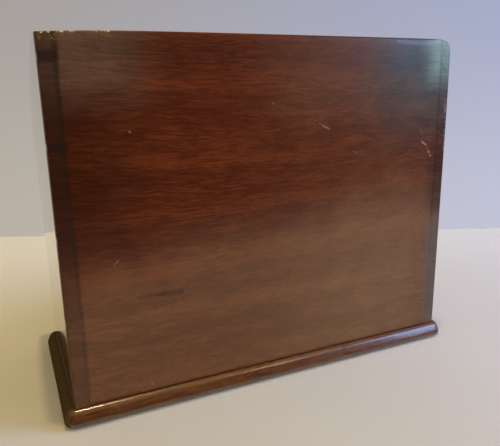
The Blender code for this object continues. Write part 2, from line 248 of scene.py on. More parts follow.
@dataclass
class Slab:
    """A board as two grids of points, its outer and its inner face, and the cells of them that are wood."""

    outer: np.ndarray
    inner: np.ndarray
    kept: np.ndarray

    def faces(self) -> np.ndarray:
        """Makes the board's faces.

        A kept cell gives one face on each grid, the inner one turned over. Where its neighbour isn't kept,
        a wall joins the outer edge to the inner one.

        Returns:
            The corners of each face, as rows of four numbers.
        """
        rows, columns = self.kept.shape
        index = np.arange((rows + 1) * (columns + 1)).reshape(rows + 1, columns + 1)
        corners = np.stack([index[:-1, :-1], index[1:, :-1], index[1:, 1:], index[:-1, 1:]], axis=-1)
        padded = np.pad(self.kept, 1)
        beside = (padded[1:-1, :-2], padded[2:, 1:-1], padded[1:-1, 2:], padded[:-2, 1:-1])
        quads = [corners[self.kept], corners[self.kept][:, ::-1] + index.size]
        for edge, neighbour in enumerate(beside):
            bare = self.kept & ~neighbour
            start, end = corners[bare][:, edge], corners[bare][:, (edge + 1) % 4]
            quads.append(np.stack([end, start, start + index.size, end + index.size], axis=-1))
        return np.concatenate(quads)

    def points(self) -> np.ndarray:
        """Returns the points of both grids, one row each, outer first."""
        return np.concatenate([self.outer.reshape(-1, 3), self.inner.reshape(-1, 3)])


def swept_ring(
    path: np.ndarray, normals: np.ndarray, offsets: np.ndarray, heights: np.ndarray
) -> tuple[np.ndarray, np.ndarray]:
    """Carries a profile round a closed level path: point = path + offset * outward normal, at the height.

    Args:
        path: the path's (x, y) points, turning left.
        normals: the outward normal at each of them.
        offsets: the profile's distances out from the path, by path point and profile point.
        heights: the profile's heights, in the same shape.

    Returns:
        The points, and the four corners of each face. The profile runs from the top down.
    """
    flat = path[:, None, :] + offsets[..., None] * normals[:, None, :]
    points = np.concatenate([flat, heights[..., None]], axis=-1)
    around, along = offsets.shape
    index = np.arange(around * along).reshape(around, along)
    turned = np.roll(index, -1, axis=0)
    quads = np.stack([index[:, :-1], index[:, 1:], turned[:, 1:], turned[:, :-1]], axis=-1)
    return points.reshape(-1, 3), quads.reshape(-1, 4)


def rounded_path(half_x: float, half_y: float, radius: float, step: float) -> tuple[np.ndarray, np.ndarray]:
    """A rounded rectangle's path: straight runs, and corners that are centre + radius * (cos, sin).

    Args:
        half_x: half its width.
        half_y: half its depth.
        radius: its corners' radius.
        step: the longest step on the straight runs.

    Returns:
        The (x, y) points turning left, and the outward normal at each.
    """
    points, normals = [], []
    for turn, (sign_x, sign_y) in enumerate([(1, 1), (-1, 1), (-1, -1), (1, -1)]):
        angles = np.linspace(turn, turn + 1, CORNER_POINTS) * math.pi / 2
        ways = np.stack([np.cos(angles), np.sin(angles)], axis=-1)
        centre = np.array([sign_x * (half_x - radius), sign_y * (half_y - radius)])
        corner = centre + radius * ways
        length = 2 * ((half_x if turn % 2 == 0 else half_y) - radius)
        shares = np.linspace(0, 1, math.ceil(length / step) + 1)[1:-1, None]
        way = np.array([-math.sin(angles[-1]), math.cos(angles[-1])])
        points += [corner, corner[-1] + shares * length * way]
        normals += [ways, np.repeat(ways[-1:], len(shares), axis=0)]
    return np.concatenate(points), np.concatenate(normals)


def new_piece(
    name: str,
    points: np.ndarray,
    quads: np.ndarray,
    material: bpy.types.Material,
    caps: list[np.ndarray] | None = None,
    bare: np.ndarray | None = None,
) -> bpy.types.Object:
    """Puts points and faces into a mesh object at the origin, without the points that no face uses.

    Args:
        name: the object's name.
        points: the points, one row each.
        quads: the four corners of each face.
        material: its finish.
        caps: faces of any number of corners.
        bare: how bare the wood is at each point, 0 to 1, kept as the attribute "bare".

    Returns:
        The object.
    """
    faces = quads.tolist() + [cap.tolist() for cap in caps or []]
    used, flat = np.unique(np.concatenate([np.asarray(face) for face in faces]), return_inverse=True)
    ends = np.cumsum([len(face) for face in faces])
    faces = [part.tolist() for part in np.split(flat, ends[:-1])]
    mesh = bpy.data.meshes.new(name)
    mesh.from_pydata(points[used].tolist(), [], faces)
    mesh.validate()
    mesh.shade_smooth()
    mesh.set_sharp_from_angle(angle=math.radians(SHARP_DEGREES))
    values = np.zeros(len(points)) if bare is None else bare
    mesh.attributes.new("bare", "FLOAT", "POINT").data.foreach_set("value", values[used].astype(np.float32))
    mesh.materials.append(material)
    piece = bpy.data.objects.new(name, mesh)
    bpy.context.scene.collection.objects.link(piece)
    return piece


# Shader nodes


class Value:
    """A number socket. Arithmetic on it adds Math nodes."""

    def __init__(self, graph: "Graph", socket: bpy.types.NodeSocket) -> None:
        """Wraps a number output of one of the graph's nodes."""
        self.graph = graph
        self.socket = socket

    def math(self, operation: str, *others: "Value | float", first: "Value | float | None" = None) -> "Value":
        """Adds one Math node.

        Args:
            operation: the node's operation.
            others: the values after the first.
            first: the first value, where it isn't this one.

        Returns:
            The node's result.
        """
        values = (self if first is None else first, *others)
        return self.graph.value("ShaderNodeMath", {"operation": operation}, dict(enumerate(values)))

    def __add__(self, other: "Value | float") -> "Value":
        """Returns the sum."""
        return self.math("ADD", other)

    __radd__ = __add__

    def __sub__(self, other: "Value | float") -> "Value":
        """Returns the difference."""
        return self.math("SUBTRACT", other)

    def __rsub__(self, other: "Value | float") -> "Value":
        """Returns the other less this."""
        return self.math("SUBTRACT", self, first=other)

    def __mul__(self, other: "Value | float") -> "Value":
        """Returns the product."""
        return self.math("MULTIPLY", other)

    __rmul__ = __mul__

    def __abs__(self) -> "Value":
        """Returns the size without the sign."""
        return self.math("ABSOLUTE")

    def highest(self, other: "Value | float") -> "Value":
        """Returns the higher of the two."""
        return self.math("MAXIMUM", other)

    def rise(self, low: float, high: float) -> "Value":
        """A smooth step.

        Args:
            low: the value that gives 0.
            high: the value that gives 1. It may be the smaller of the two.

        Returns:
            The step's value, from 0 to 1.
        """
        settings = {"interpolation_type": "SMOOTHSTEP"}
        if low <= high:
            return self.graph.value("ShaderNodeMapRange", settings, {0: self, 1: low, 2: high})
        return 1 - self.graph.value("ShaderNodeMapRange", settings, {0: self, 1: high, 2: low})


Rgb = tuple[float, float, float]
Link = bpy.types.NodeSocket


def scaled(colour: Rgb, factor: float) -> Rgb:
    """Returns a colour times a factor."""
    return tuple(part * factor for part in colour)


@dataclass
class Graph:
    """A node tree that is being written."""

    tree: bpy.types.NodeTree

    def __post_init__(self) -> None:
        """Empties the tree."""
        self.tree.nodes.clear()

    def node(self, kind: str, settings: dict | None = None, inputs: dict | None = None) -> bpy.types.Node:
        """Adds a node.

        Args:
            kind: its type.
            settings: its properties, which are set first; "stops" gives a ramp's (place, colour) pairs.
            inputs: the values or links of its sockets, by name or number.

        Returns:
            The node.
        """
        node = self.tree.nodes.new(kind)
        for key, value in (settings or {}).items():
            if key == "stops":
                elements = node.color_ramp.elements
                while len(elements) < len(value):
                    elements.new(0.5)
                for element, (place, colour) in zip(elements, value):
                    element.position, element.color = place, (*colour, 1)
            else:
                setattr(node, key, value)
        for key, value in (inputs or {}).items():
            socket = node.inputs[key]
            source = value.socket if isinstance(value, Value) else value
            if isinstance(source, bpy.types.NodeSocket):
                self.tree.links.new(source, socket)
            elif isinstance(source, tuple) and socket.type == "RGBA":
                socket.default_value = (*source, 1)
            else:
                socket.default_value = source
        return node

    def value(self, kind: str, settings: dict | None, inputs: dict | None, output: int | str = 0) -> Value:
        """Adds a node as node() does, and returns one of its outputs as a number."""
        return Value(self, self.node(kind, settings, inputs).outputs[output])

    def place(self) -> Link:
        """Returns the Object coordinates."""
        return self.node("ShaderNodeTexCoord").outputs["Object"]

    def split(self, vector: Link) -> dict[str, Value]:
        """Returns the X, Y and Z of a vector."""
        parts = self.node("ShaderNodeSeparateXYZ", None, {0: vector})
        return {axis: Value(self, parts.outputs[axis]) for axis in "XYZ"}

    def rays(self) -> tuple[Value, Value]:
        """Returns 1 for a camera ray, and 1 for a glossy one."""
        outputs = self.node("ShaderNodeLightPath").outputs
        return Value(self, outputs["Is Camera Ray"]), Value(self, outputs["Is Glossy Ray"])

    def joined(self, x: Value | float, y: Value | float, z: Value | float) -> Link:
        """Returns a vector made of three numbers."""
        return self.node("ShaderNodeCombineXYZ", None, {0: x, 1: y, 2: z}).outputs[0]

    def vector(self, operation: str, inputs: dict) -> Link:
        """Adds one Vector Math node and returns its vector."""
        return self.node("ShaderNodeVectorMath", {"operation": operation}, inputs).outputs[0]

    def measure(self, operation: str, inputs: dict) -> Value:
        """Adds one Vector Math node and returns its number."""
        return self.value("ShaderNodeVectorMath", {"operation": operation}, inputs, "Value")

    def noise(
        self, place: Link, scale: Rgb | float, detail: float = 2, rough: float = 0.5, shift: Rgb = (0, 0, 0)
    ) -> Value:
        """Noise about 0.5, read at place * scale + shift.

        Args:
            place: the place.
            scale: its scale, one for each axis or one for all.
            detail: its octaves.
            rough: how much the fine ones weigh.
            shift: how far it is moved.

        Returns:
            The noise.
        """
        scales = scale if isinstance(scale, tuple) else (scale, scale, scale)
        spot = self.vector("MULTIPLY_ADD", {0: place, 1: scales, 2: shift})
        inputs = {"Vector": spot, "Scale": 1, "Detail": detail, "Roughness": rough}
        return self.value("ShaderNodeTexNoise", None, inputs)

    def blend(self, factor: Value | float, first: Link | Rgb, second: Link | Rgb) -> Link:
        """Mixes two colours.

        Args:
            factor: the share of the second.
            first: the first colour.
            second: the second.

        Returns:
            The mixed colour.
        """
        settings = {"data_type": "RGBA", "clamp_factor": True}
        return self.node("ShaderNodeMix", settings, {0: factor, 6: first, 7: second}).outputs[2]

    def toned(self, tone: Value, colour: Rgb, spread: float) -> Link:
        """Returns a colour that runs with the tone from 1 - spread to 1 + spread times itself."""
        return self.blend(tone, scaled(colour, 1 - spread), scaled(colour, 1 + spread))

    def bumped(self, height: Value, strength: float, distance: float) -> Link:
        """Returns the normal that a height gives, by a Bump node."""
        inputs = {"Height": height, "Strength": strength, "Distance": distance}
        return self.node("ShaderNodeBump", None, inputs).outputs[0]

    def principled(self, inputs: dict) -> Link:
        """Adds a Principled shader and returns it."""
        return self.node("ShaderNodeBsdfPrincipled", None, inputs).outputs[0]

    def glow(self, colour: Link | Rgb) -> Link:
        """Adds an Emission shader of strength 1 and returns it."""
        return self.node("ShaderNodeEmission", None, {"Color": colour, "Strength": 1.0}).outputs[0]

    def mixed(self, factor: Value, first: Link, second: Link) -> Link:
        """Returns two shaders mixed by the second's share."""
        return self.node("ShaderNodeMixShader", None, {0: factor, 1: first, 2: second}).outputs[0]

    def show(self, shader: Link) -> None:
        """Makes a shader the material's surface."""
        self.node("ShaderNodeOutputMaterial", None, {0: shader})


def new_graph(name: str) -> tuple[bpy.types.Material, Graph]:
    """Returns a new material and the graph of its empty node tree."""
    material = bpy.data.materials.new(name)
    material.use_nodes = True
    return material, Graph(material.node_tree)


# A mark's ragged edge, the share of its width that it fills, and the noise between which a dash begins.
MARK_RAGGED, MARK_CORE, DASH_EDGES = 0.8, 0.35, (0.47, 0.6)


@dataclass(frozen=True)
class Mark:
    """A scratch, bruise, speck, painted shade, sheen or glint on the back's rear face, between two points in
    X and Z.
    """

    start: tuple[float, float]
    end: tuple[float, float]
    width: float
    colour: Rgb
    strength: float
    shape: Shape = Shape.LINE

    def mask(self, graph: Graph, spot: Link, speckle: Value) -> Value:
        """The mark's share at a point: 1 within a third of its width from its line, and 0 from its width on.

        Args:
            graph: the material's graph.
            spot: the point, flattened to Y = 0.
            speckle: noise that breaks up dashes and edges.

        Returns:
            The share.
        """
        start = Vector((self.start[0], 0, self.start[1]))
        run = Vector((self.end[0], 0, self.end[1])) - start
        from_start = graph.vector("SUBTRACT", {0: spot, 1: tuple(start)})
        share = graph.measure("DOT_PRODUCT", {0: from_start, 1: tuple(run / run.length_squared)})
        share = share.math("MAXIMUM", 0.0).math("MINIMUM", 1.0)
        foot = graph.vector("SCALE", {0: tuple(run), "Scale": share})
        distance = graph.measure("DISTANCE", {0: from_start, 1: foot})
        ragged = distance + (speckle - 0.5) * self.width * MARK_RAGGED
        mask = ragged.rise(self.width, self.width * MARK_CORE)
        if self.shape is Shape.DASHES:
            mask = mask * speckle.rise(*DASH_EDGES)
        return mask * self.strength


@dataclass(frozen=True)
class Figure:
    """What the layers of a wood read: a point's place, the way its face looks, and the wood's pattern.

    The tone runs from 0 dark to 1 light, the mottle is slow noise about 0.5, and rear is 1 on the rear face.
    """

    graph: Graph
    place: Link
    parts: dict[str, Value]
    facing: dict[str, Value]
    tone: Value
    pores: Value
    mottle: Value
    rear: Value

    def wavered(self, axis: str, amount: float) -> Value:
        """Returns a coordinate that the mottle shifts to and fro."""
        return self.parts[axis] + (self.mottle - 0.5) * amount

    def plus_half(self) -> Value:
        """Returns 1 on the rack's +X half, by a smooth step 40 mm wide."""
        return self.parts["X"].rise(-0.02, 0.02)


@dataclass(frozen=True)
class Film:
    """A tint on the rear: it sets in over a span in X and one in Z, which the mottle wavers. Some are painted
    sheen.
    """

    colour: Rgb
    spread: float
    strength: float
    in_x: tuple[float, float]
    in_z: tuple[float, float]
    waver_x: float
    waver_z: float

    def laid(self, figure: Figure, colour: Link) -> Link:
        """Lays the tint over the rear.

        Args:
            figure: the wood's pattern, whose tone still shows in the tint.
            colour: the colour under it.

        Returns:
            The colour with it.
        """
        share = figure.wavered("X", self.waver_x).rise(*self.in_x)
        share = share * figure.wavered("Z", self.waver_z).rise(*self.in_z)
        tint = figure.graph.toned(figure.tone, self.colour, self.spread)
        return figure.graph.blend(share * figure.rear * self.strength, colour, tint)


CASE_DARK: Rgb = (0.042, 0.0076, 0.0017)
CASE_MIDDLE: Rgb = (0.072, 0.0128, 0.0026)
CASE_LIGHT: Rgb = (0.116, 0.0240, 0.0048)
CASE_END: Rgb = (0.020, 0.0095, 0.0055)
# The rear's paler colour: partly wood paled with age, partly painted light from the floor and painted sheen.
FADED_AND_LIT: Rgb = (0.160, 0.082, 0.038)

# The layers of the wood's tone, as (scales along, across and through the grain, octaves, roughness, weight):
# growth bands, streaks, fine fibres and ribbon figure. Then the sum's middle and its span from dark to light.
TONE_LAYERS = (
    ((3.5, 95, 60), 2, 0.5, 0.5),
    ((70, 880, 600), 3, 0.6, 0.7),
    ((180, 1800, 1300), 2, 0.6, 0.65),
    ((55, 150, 110), 2, 0.55, 0.3),
)
TONE_MIDDLE, TONE_SPAN = 0.575, (0.22, 0.78)
PORE_SCALES, PORE_SPAN = (130, 2300, 1700), (0.60, 0.74)

# Where the rear is paler low down, towards -X and in a patch at the top: partly wood paled with age, and
# partly
# painted light from the floor and painted sheen. The spans in Z or X over which each part of it sets in.
PALER_LOW, PALER_LOWEST = (0.116, 0.072), (0.090, 0.045)
# The second span here takes the paleness back at the -X edge, as painted shade.
PALER_TOWARD, SHADED_END = (0.045, -0.060), (-0.085, -0.120)
PALER_PATCH_X, PALER_PATCH_Z = (0.025, -0.020), (0.140, 0.165)

# The scribed line's outer and inner reach, half the span over which the strip sets in, how both waver, and
# the span in Z over which they get stronger.
LINE_REACHES, STRIP_RISE, JOINT_WAVER, JOINT_HIGH = (0.0019, 0.0002), 0.0012, 0.0010, (0.03, 0.14)
BUMP_HEIGHT = 0.00008

# Where the polish is gone: the two colours of the bare wood. Then those of the marks, tints and joints.
RAW_WOOD: tuple[Rgb, Rgb] = ((0.20, 0.12, 0.035), (0.62, 0.47, 0.20))
PALE_SCRATCH: Rgb = (0.27, 0.20, 0.16)
# Dark for real dents and scratches, and for painted shade on the -X edge and the rounded top edge.
DENT_AND_SHADE_DARK: Rgb = (0.012, 0.008, 0.006)
RUBBED_GOLD: Rgb = (0.100, 0.062, 0.014)
JOINT_DARK: Rgb = (0.011, 0.007, 0.004)
JOINT_STRIP: Rgb = (0.016, 0.007, 0.004)
# Painted reflection of the window on the worn top corner at -X.
PAINTED_CORNER_SHEEN: Rgb = (0.160, 0.228, 0.180)
# Painted sheen: grey, low on the -X edge.
PAINTED_GREY_SHEEN: Rgb = (0.085, 0.085, 0.078)
# Painted highlight: the window's pale blue glint under the top edge at -X.
PAINTED_EDGE_GLINT: Rgb = (0.120, 0.170, 0.200)
WARM_TINT: Rgb = (0.110, 0.062, 0.036)
# Painted reflection: the window's greenish sheen over the top towards -X.
PAINTED_GREEN_SHEEN: Rgb = (0.036, 0.052, 0.045)

# The pins' dark ends at +X; painted grey sheen low and painted shade higher on the -X edge; darker along the
# top.
JOINT_SHADE_AND_SHEEN_MARKS = (
    Mark((0.1190, 0.1842), (0.1135, 0.1842), 0.00400, DENT_AND_SHADE_DARK, 0.70),
    Mark((0.1150, 0.1445), (0.1120, 0.1440), 0.00330, DENT_AND_SHADE_DARK, 0.60),
    # Painted grey sheen low on the -X edge.
    Mark((-0.1170, 0.0800), (-0.1170, 0.0200), 0.01300, PAINTED_GREY_SHEEN, 0.45),
    # Painted shade: a dark band on the -X edge.
    Mark((-0.1170, 0.1200), (-0.1170, 0.0980), 0.01500, DENT_AND_SHADE_DARK, 0.50),
    # Darker along the top.
    Mark((0.0700, 0.1950), (-0.0850, 0.1950), 0.03000, DENT_AND_SHADE_DARK, 0.22),
)

BACK_MARKS = (
    Mark((-0.0220, 0.1511), (-0.0275, 0.1482), 0.00034, PALE_SCRATCH, 0.50, Shape.DASHES),
    Mark((-0.0275, 0.1482), (-0.0318, 0.1459), 0.00042, PALE_SCRATCH, 0.75),
    # Painted shade along the rounded top edge.
    Mark((0.0150, 0.1956), (-0.1060, 0.1956), 0.00080, DENT_AND_SHADE_DARK, 0.60),
    # Painted highlight of the window under the top edge at -X.
    Mark((-0.0780, 0.1937), (-0.1080, 0.1930), 0.00150, PAINTED_EDGE_GLINT, 0.35),
    Mark((-0.0983, 0.1433), (-0.0991, 0.1399), 0.00060, PALE_SCRATCH, 0.55, Shape.DASHES),
    Mark((-0.1000, 0.1350), (-0.1035, 0.1328), 0.00070, PALE_SCRATCH, 0.75),
    Mark((-0.1045, 0.1306), (-0.1085, 0.1245), 0.00080, PALE_SCRATCH, 1.00, Shape.DASHES),
    Mark((-0.1081, 0.1119), (-0.1132, 0.1115), 0.00060, PALE_SCRATCH, 0.80, Shape.DASHES),
    Mark((-0.1168, 0.1600), (-0.1180, 0.1290), 0.00070, PALE_SCRATCH, 0.75, Shape.DASHES),
    Mark((0.0812, 0.1498), (0.0806, 0.1494), 0.00050, PALE_SCRATCH, 0.45),
    Mark((0.0789, 0.0162), (0.0779, 0.0138), 0.00035, PALE_SCRATCH, 0.55),
    Mark((0.0939, 0.0838), (0.0912, 0.0865), 0.00035, PALE_SCRATCH, 0.35),
    Mark((0.0036, 0.1610), (0.0030, 0.1606), 0.00045, PALE_SCRATCH, 0.50),
    Mark((-0.0482, 0.1326), (-0.0568, 0.1291), 0.00035, PALE_SCRATCH, 0.40, Shape.DASHES),
    Mark((0.0828, 0.0651), (0.0690, 0.0647), 0.00100, DENT_AND_SHADE_DARK, 0.42),
    Mark((0.0705, 0.0648), (0.0595, 0.0644), 0.00180, DENT_AND_SHADE_DARK, 0.46),
    Mark((0.1170, 0.1922), (0.1060, 0.1927), 0.00260, RUBBED_GOLD, 0.95, Shape.DASHES),
    Mark((0.1105, 0.1900), (0.1108, 0.1830), 0.00170, DENT_AND_SHADE_DARK, 0.35),
    Mark((0.0944, 0.1905), (0.0936, 0.1875), 0.00110, DENT_AND_SHADE_DARK, 0.60, Shape.DASHES),
    Mark((-0.1091, 0.1908), (-0.1110, 0.1890), 0.00055, DENT_AND_SHADE_DARK, 0.90, Shape.DASHES),
    Mark((-0.1135, 0.1896), (-0.1137, 0.1880), 0.00045, DENT_AND_SHADE_DARK, 0.90),
    Mark((-0.1123, 0.1829), (-0.1138, 0.1787), 0.00040, DENT_AND_SHADE_DARK, 0.85),
    Mark((-0.1138, 0.1787), (-0.1162, 0.1774), 0.00035, DENT_AND_SHADE_DARK, 0.80),
)

# Darker towards the +X end, higher up.
DARKER_PLUS_X = Film(scaled(CASE_DARK, 0.3), 0.0, 0.52, (0.062, 0.110), (0.070, 0.105), 0.020, 0.0)
TINTS = (
    DARKER_PLUS_X,
    # Painted greenish sheen of the window over the top towards -X.
    Film(PAINTED_GREEN_SHEEN, 0.35, 0.80, (-0.035, -0.100), (0.110, 0.186), 0.030, 0.0),
    # Painted sheen of the window on the worn top corner at -X.
    Film(PAINTED_CORNER_SHEEN, 0.25, 0.75, (-0.094, -0.110), (0.163, 0.182), 0.010, 0.012),
    # Warmer and lighter towards the top at +X.
    Film(WARM_TINT, 0.30, 0.62, (0.058, 0.090), (0.150, 0.186), 0.008, 0.020),
)


@dataclass(frozen=True)
class Mahogany:
    """Polished mahogany: growth bands, fine streaks, pores, ribbon figure and dark end grain."""

    name: str
    grain: GrainAxis
    dark: Rgb
    middle: Rgb
    light: Rgb
    end: Rgb
    shift: float
    roughness: float = 0.27
    relief: float = 0.12
    coat: float = 0.0
    coat_roughness: float = 0.05
    ior: float = 1.52
    end_edge: tuple[float, float] = (0.45, 0.92)
    dull_ends: bool = False
    # The rear's paler colour and its spread, partly painted light, then its tints, some of them painted
    # sheen.
    faded_and_lit: Rgb | None = None
    faded_and_lit_spread: float = 0.22
    tints: tuple[Film, ...] = ()
    soft_pins: bool = False
    marks: tuple[Mark, ...] = ()

    def figure(self, graph: Graph) -> Figure:
        """Works out the wood's pattern: noise stretched along the grain, at places that slow noise bends.

        Args:
            graph: the material's graph.

        Returns:
            The pattern.
        """
        place = graph.place()
        parts = graph.split(place)
        facing = graph.split(graph.node("ShaderNodeNewGeometry").outputs["Normal"])
        along, across, through = (parts[axis] for axis in self.grain.value)
        bend = graph.noise(place, 9, shift=(self.shift, 0, self.shift)) - 0.5
        sway = graph.noise(place, 40, 1, shift=(0, self.shift, 0)) - 0.5
        across = across + bend * 0.010 + sway * 0.0010
        wood = graph.joined(along, across, through + bend * 0.006)
        away = (self.shift, self.shift * 2, -self.shift)
        layers = [graph.noise(wood, *layer, away) * weight for *layer, weight in TONE_LAYERS]
        tone = (sum(layers[1:], layers[0]) - TONE_MIDDLE).rise(*TONE_SPAN)
        pores = graph.noise(wood, PORE_SCALES, 1, 0.5, away).rise(*PORE_SPAN)
        mottle = graph.noise(place, 34, 3, 0.5, away)
        return Figure(graph, place, parts, facing, tone, pores, mottle, facing["Y"].rise(0.6, 0.8))

    def end_grain(self, figure: Figure) -> Value:
        """Finds the end grain, where a face looks along the grain.

        Dull ends reach over the whole margin outside the case, and soft pins show less of it at the rear.

        Args:
            figure: the wood's pattern.

        Returns:
            The share of end grain.
        """
        share = abs(figure.facing[self.grain.value[0]]).rise(*self.end_edge)
        if self.dull_ends:
            margin = abs(figure.parts["X"]).rise(HALF_WIDTH - EDGE_ROUND, HALF_WIDTH + EDGE_ROUND)
            share = share.highest(margin * (1 - abs(figure.facing["Y"]).rise(0.2, 0.5)))
        if self.soft_pins:
            shown = figure.plus_half() * (figure.parts["Z"].rise(0.150, 0.160) * 0.30 + 0.30) + 0.08
            share = share * (1 - figure.rear * (1 - shown))
        return share

    def fade_and_light(self, figure: Figure, colour: Link) -> Link:
        """Makes the rear paler low down, towards -X and in a patch at the top, and lays the tints over it.

        The paleness is partly wood paled with age and partly painted light: light from the floor low down,
        and painted sheen towards -X and at the top. At the -X edge it is held back as painted shade.

        Args:
            figure: the wood's pattern, whose tone still shows.
            colour: the wood's colour.

        Returns:
            The colour with them.
        """
        x, z = figure.parts["X"], figure.parts["Z"]
        low = (figure.wavered("Z", 0.03) + x * 0.15).rise(*PALER_LOW)
        lowest = z.rise(*PALER_LOWEST)
        toward = figure.wavered("X", 0.03).rise(*PALER_TOWARD) - x.rise(*SHADED_END) * 0.8
        patch = figure.wavered("X", 0.02).rise(*PALER_PATCH_X) * z.rise(*PALER_PATCH_Z)
        share = toward * (low * 0.13 + lowest * 0.18 + 0.11) + low * 0.47 + patch * 0.20
        paled_and_lit = figure.graph.toned(figure.tone, self.faded_and_lit, self.faded_and_lit_spread)
        colour = figure.graph.blend(share * figure.rear, colour, paled_and_lit)
        for tint in self.tints:
            colour = tint.laid(figure, colour)
        return colour

    def joined_edges(self, figure: Figure, colour: Link) -> Link:
        """Lays the scribed line beside the dovetails, and the darker strip outside it, over the rear.

        Both are stronger at +X and higher up.

        Args:
            figure: the wood's pattern.
            colour: the wood's colour.

        Returns:
            The colour with both.
        """
        width = abs(figure.parts["X"]) + (figure.mottle - 0.5) * JOINT_WAVER
        line = abs(width - INNER_HALF_WIDTH).rise(*LINE_REACHES) * figure.rear
        strip = width.rise(INNER_HALF_WIDTH - STRIP_RISE, INNER_HALF_WIDTH + STRIP_RISE) * figure.rear
        plus, high = figure.plus_half(), figure.parts["Z"].rise(*JOINT_HIGH)
        colour = figure.graph.blend(strip * (plus * (high * 0.24 + 0.12) + 0.18), colour, JOINT_STRIP)
        strength = figure.mottle.rise(0.3, 0.6) * 0.25 + 0.35
        strength = strength * (plus * 0.5 + 0.5) * (high * 0.45 + 0.55)
        return figure.graph.blend(line * strength, colour, JOINT_DARK)

    def marked(self, figure: Figure, colour: Link) -> Link:
        """Lays the marks over the rear.

        Args:
            figure: the wood's pattern.
            colour: the colour under them.

        Returns:
            The colour with them.
        """
        graph = figure.graph
        spot = graph.vector("MULTIPLY", {0: figure.place, 1: (1, 0, 1)})
        speckle = graph.noise(figure.place, 620, 2, 0.6)
        for mark in self.marks:
            colour = graph.blend(mark.mask(graph, spot, speckle) * figure.rear, colour, mark.colour)
        return colour

    def build(self) -> bpy.types.Material:
        """Builds the material: the wood, its end grain, its wear, painted light on its rear, and the polish
        over it.

        Returns:
            The material.
        """
        material, graph = new_graph(self.name)
        figure = self.figure(graph)
        ends = self.end_grain(figure)
        grit = graph.noise(figure.place, 1500, 2, 0.6)
        stops = [(0.0, self.dark), (0.5, self.middle), (1.0, self.light)]
        colour = graph.node("ShaderNodeValToRGB", {"stops": stops}, {0: figure.tone}).outputs[0]
        colour = graph.blend(figure.pores * 0.4, colour, scaled(self.dark, 0.45))
        end_colour = graph.blend(grit.rise(0.35, 0.7), self.end, scaled(self.end, 1.7))
        colour = graph.blend(ends, colour, end_colour)
        rough = (figure.mottle - 0.5) * 0.08 + figure.pores * 0.08 + self.roughness
        rough = rough + ends * (1 - figure.rear) * 0.25
        coat = (1 - ends * 0.85) * self.coat if self.coat else 0.0
        if self.soft_pins:
            seam = REAR_Y - BACK_THICKNESS
            dull = figure.parts["Y"].rise(seam - 0.0010, seam + 0.0003)
            rough = rough + dull * 0.17
            coat = (1 - dull) * (figure.plus_half() * 0.65 + 0.35) * coat
        # The rear's paler parts and tints hold painted light and sheen; then the joints' lines.
        if self.faded_and_lit:
            colour = self.joined_edges(figure, self.fade_and_light(figure, colour))
        if self.marks:
            colour = self.marked(figure, colour)
        bare = graph.value("ShaderNodeAttribute", {"attribute_name": "bare"}, None, "Fac")
        ragged = (bare + (grit - 0.5) * 1.1).rise(0.40, 0.62)
        colour = graph.blend(ragged, colour, graph.blend(grit.rise(0.3, 0.7), *RAW_WOOD))
        rough = rough + ragged * 0.3
        height = figure.tone * 0.6 - figure.pores * 0.6 + figure.mottle * 0.2
        bump = graph.bumped(height, self.relief, BUMP_HEIGHT)
        inputs = {"Base Color": colour, "Roughness": rough, "Normal": bump, "IOR": self.ior}
        inputs |= {"Coat Weight": coat, "Coat Roughness": self.coat_roughness, "Coat IOR": 1.5}
        shader = graph.principled(inputs)
        if self.dull_ends:
            inputs = {"Base Color": colour, "Roughness": 1.0, "Specular IOR Level": 0.0, "Normal": bump}
            shader = graph.mixed(ends, shader, graph.principled(inputs))
        graph.show(shader)
        return material


@dataclass(frozen=True)
class Baize:
    """Green baize: a felted cloth with a soft nap."""

    name: str = "rack_green_baize"
    dark: Rgb = (0.012, 0.050, 0.024)
    light: Rgb = (0.034, 0.120, 0.054)

    def build(self) -> bpy.types.Material:
        """Builds the material.

        Returns:
            The material.
        """
        material, graph = new_graph(self.name)
        place = graph.place()
        nap = graph.noise(place, 900, 3, 0.7)
        worn = graph.noise(place, 30, 3)
        colour = graph.blend((nap * 0.7 + worn * 0.5).rise(0.35, 0.85), self.dark, self.light)
        bump = graph.bumped(nap, 0.6, 0.0004)
        inputs = {"Base Color": colour, "Roughness": worn * 0.2 + 0.8, "Normal": bump}
        inputs |= {"Sheen Weight": 0.4, "Sheen Roughness": 0.5}
        graph.show(graph.principled(inputs))
        return material


@dataclass(frozen=True)
class ScrewSteel:
    """Dulled steel of the base's screws, with brown spots of rust."""

    name: str = "rack_screw_steel"
    steel: Rgb = (0.30, 0.28, 0.25)
    rust: Rgb = (0.075, 0.034, 0.016)

    def build(self) -> bpy.types.Material:
        """Builds the material.

        Returns:
            The material.
        """
        material, graph = new_graph(self.name)
        place = graph.place()
        spots = graph.noise(place, 420, 4, 0.6).rise(0.5, 0.68)
        turned = graph.noise(place, (90, 90, 2400))
        colour = graph.blend(spots, self.steel, self.rust)
        inputs = {"Base Color": colour, "Roughness": turned * 0.2 + spots * 0.3 + 0.3}
        inputs["Metallic"] = 1 - spots * 0.8
        graph.show(graph.principled(inputs))
        return material


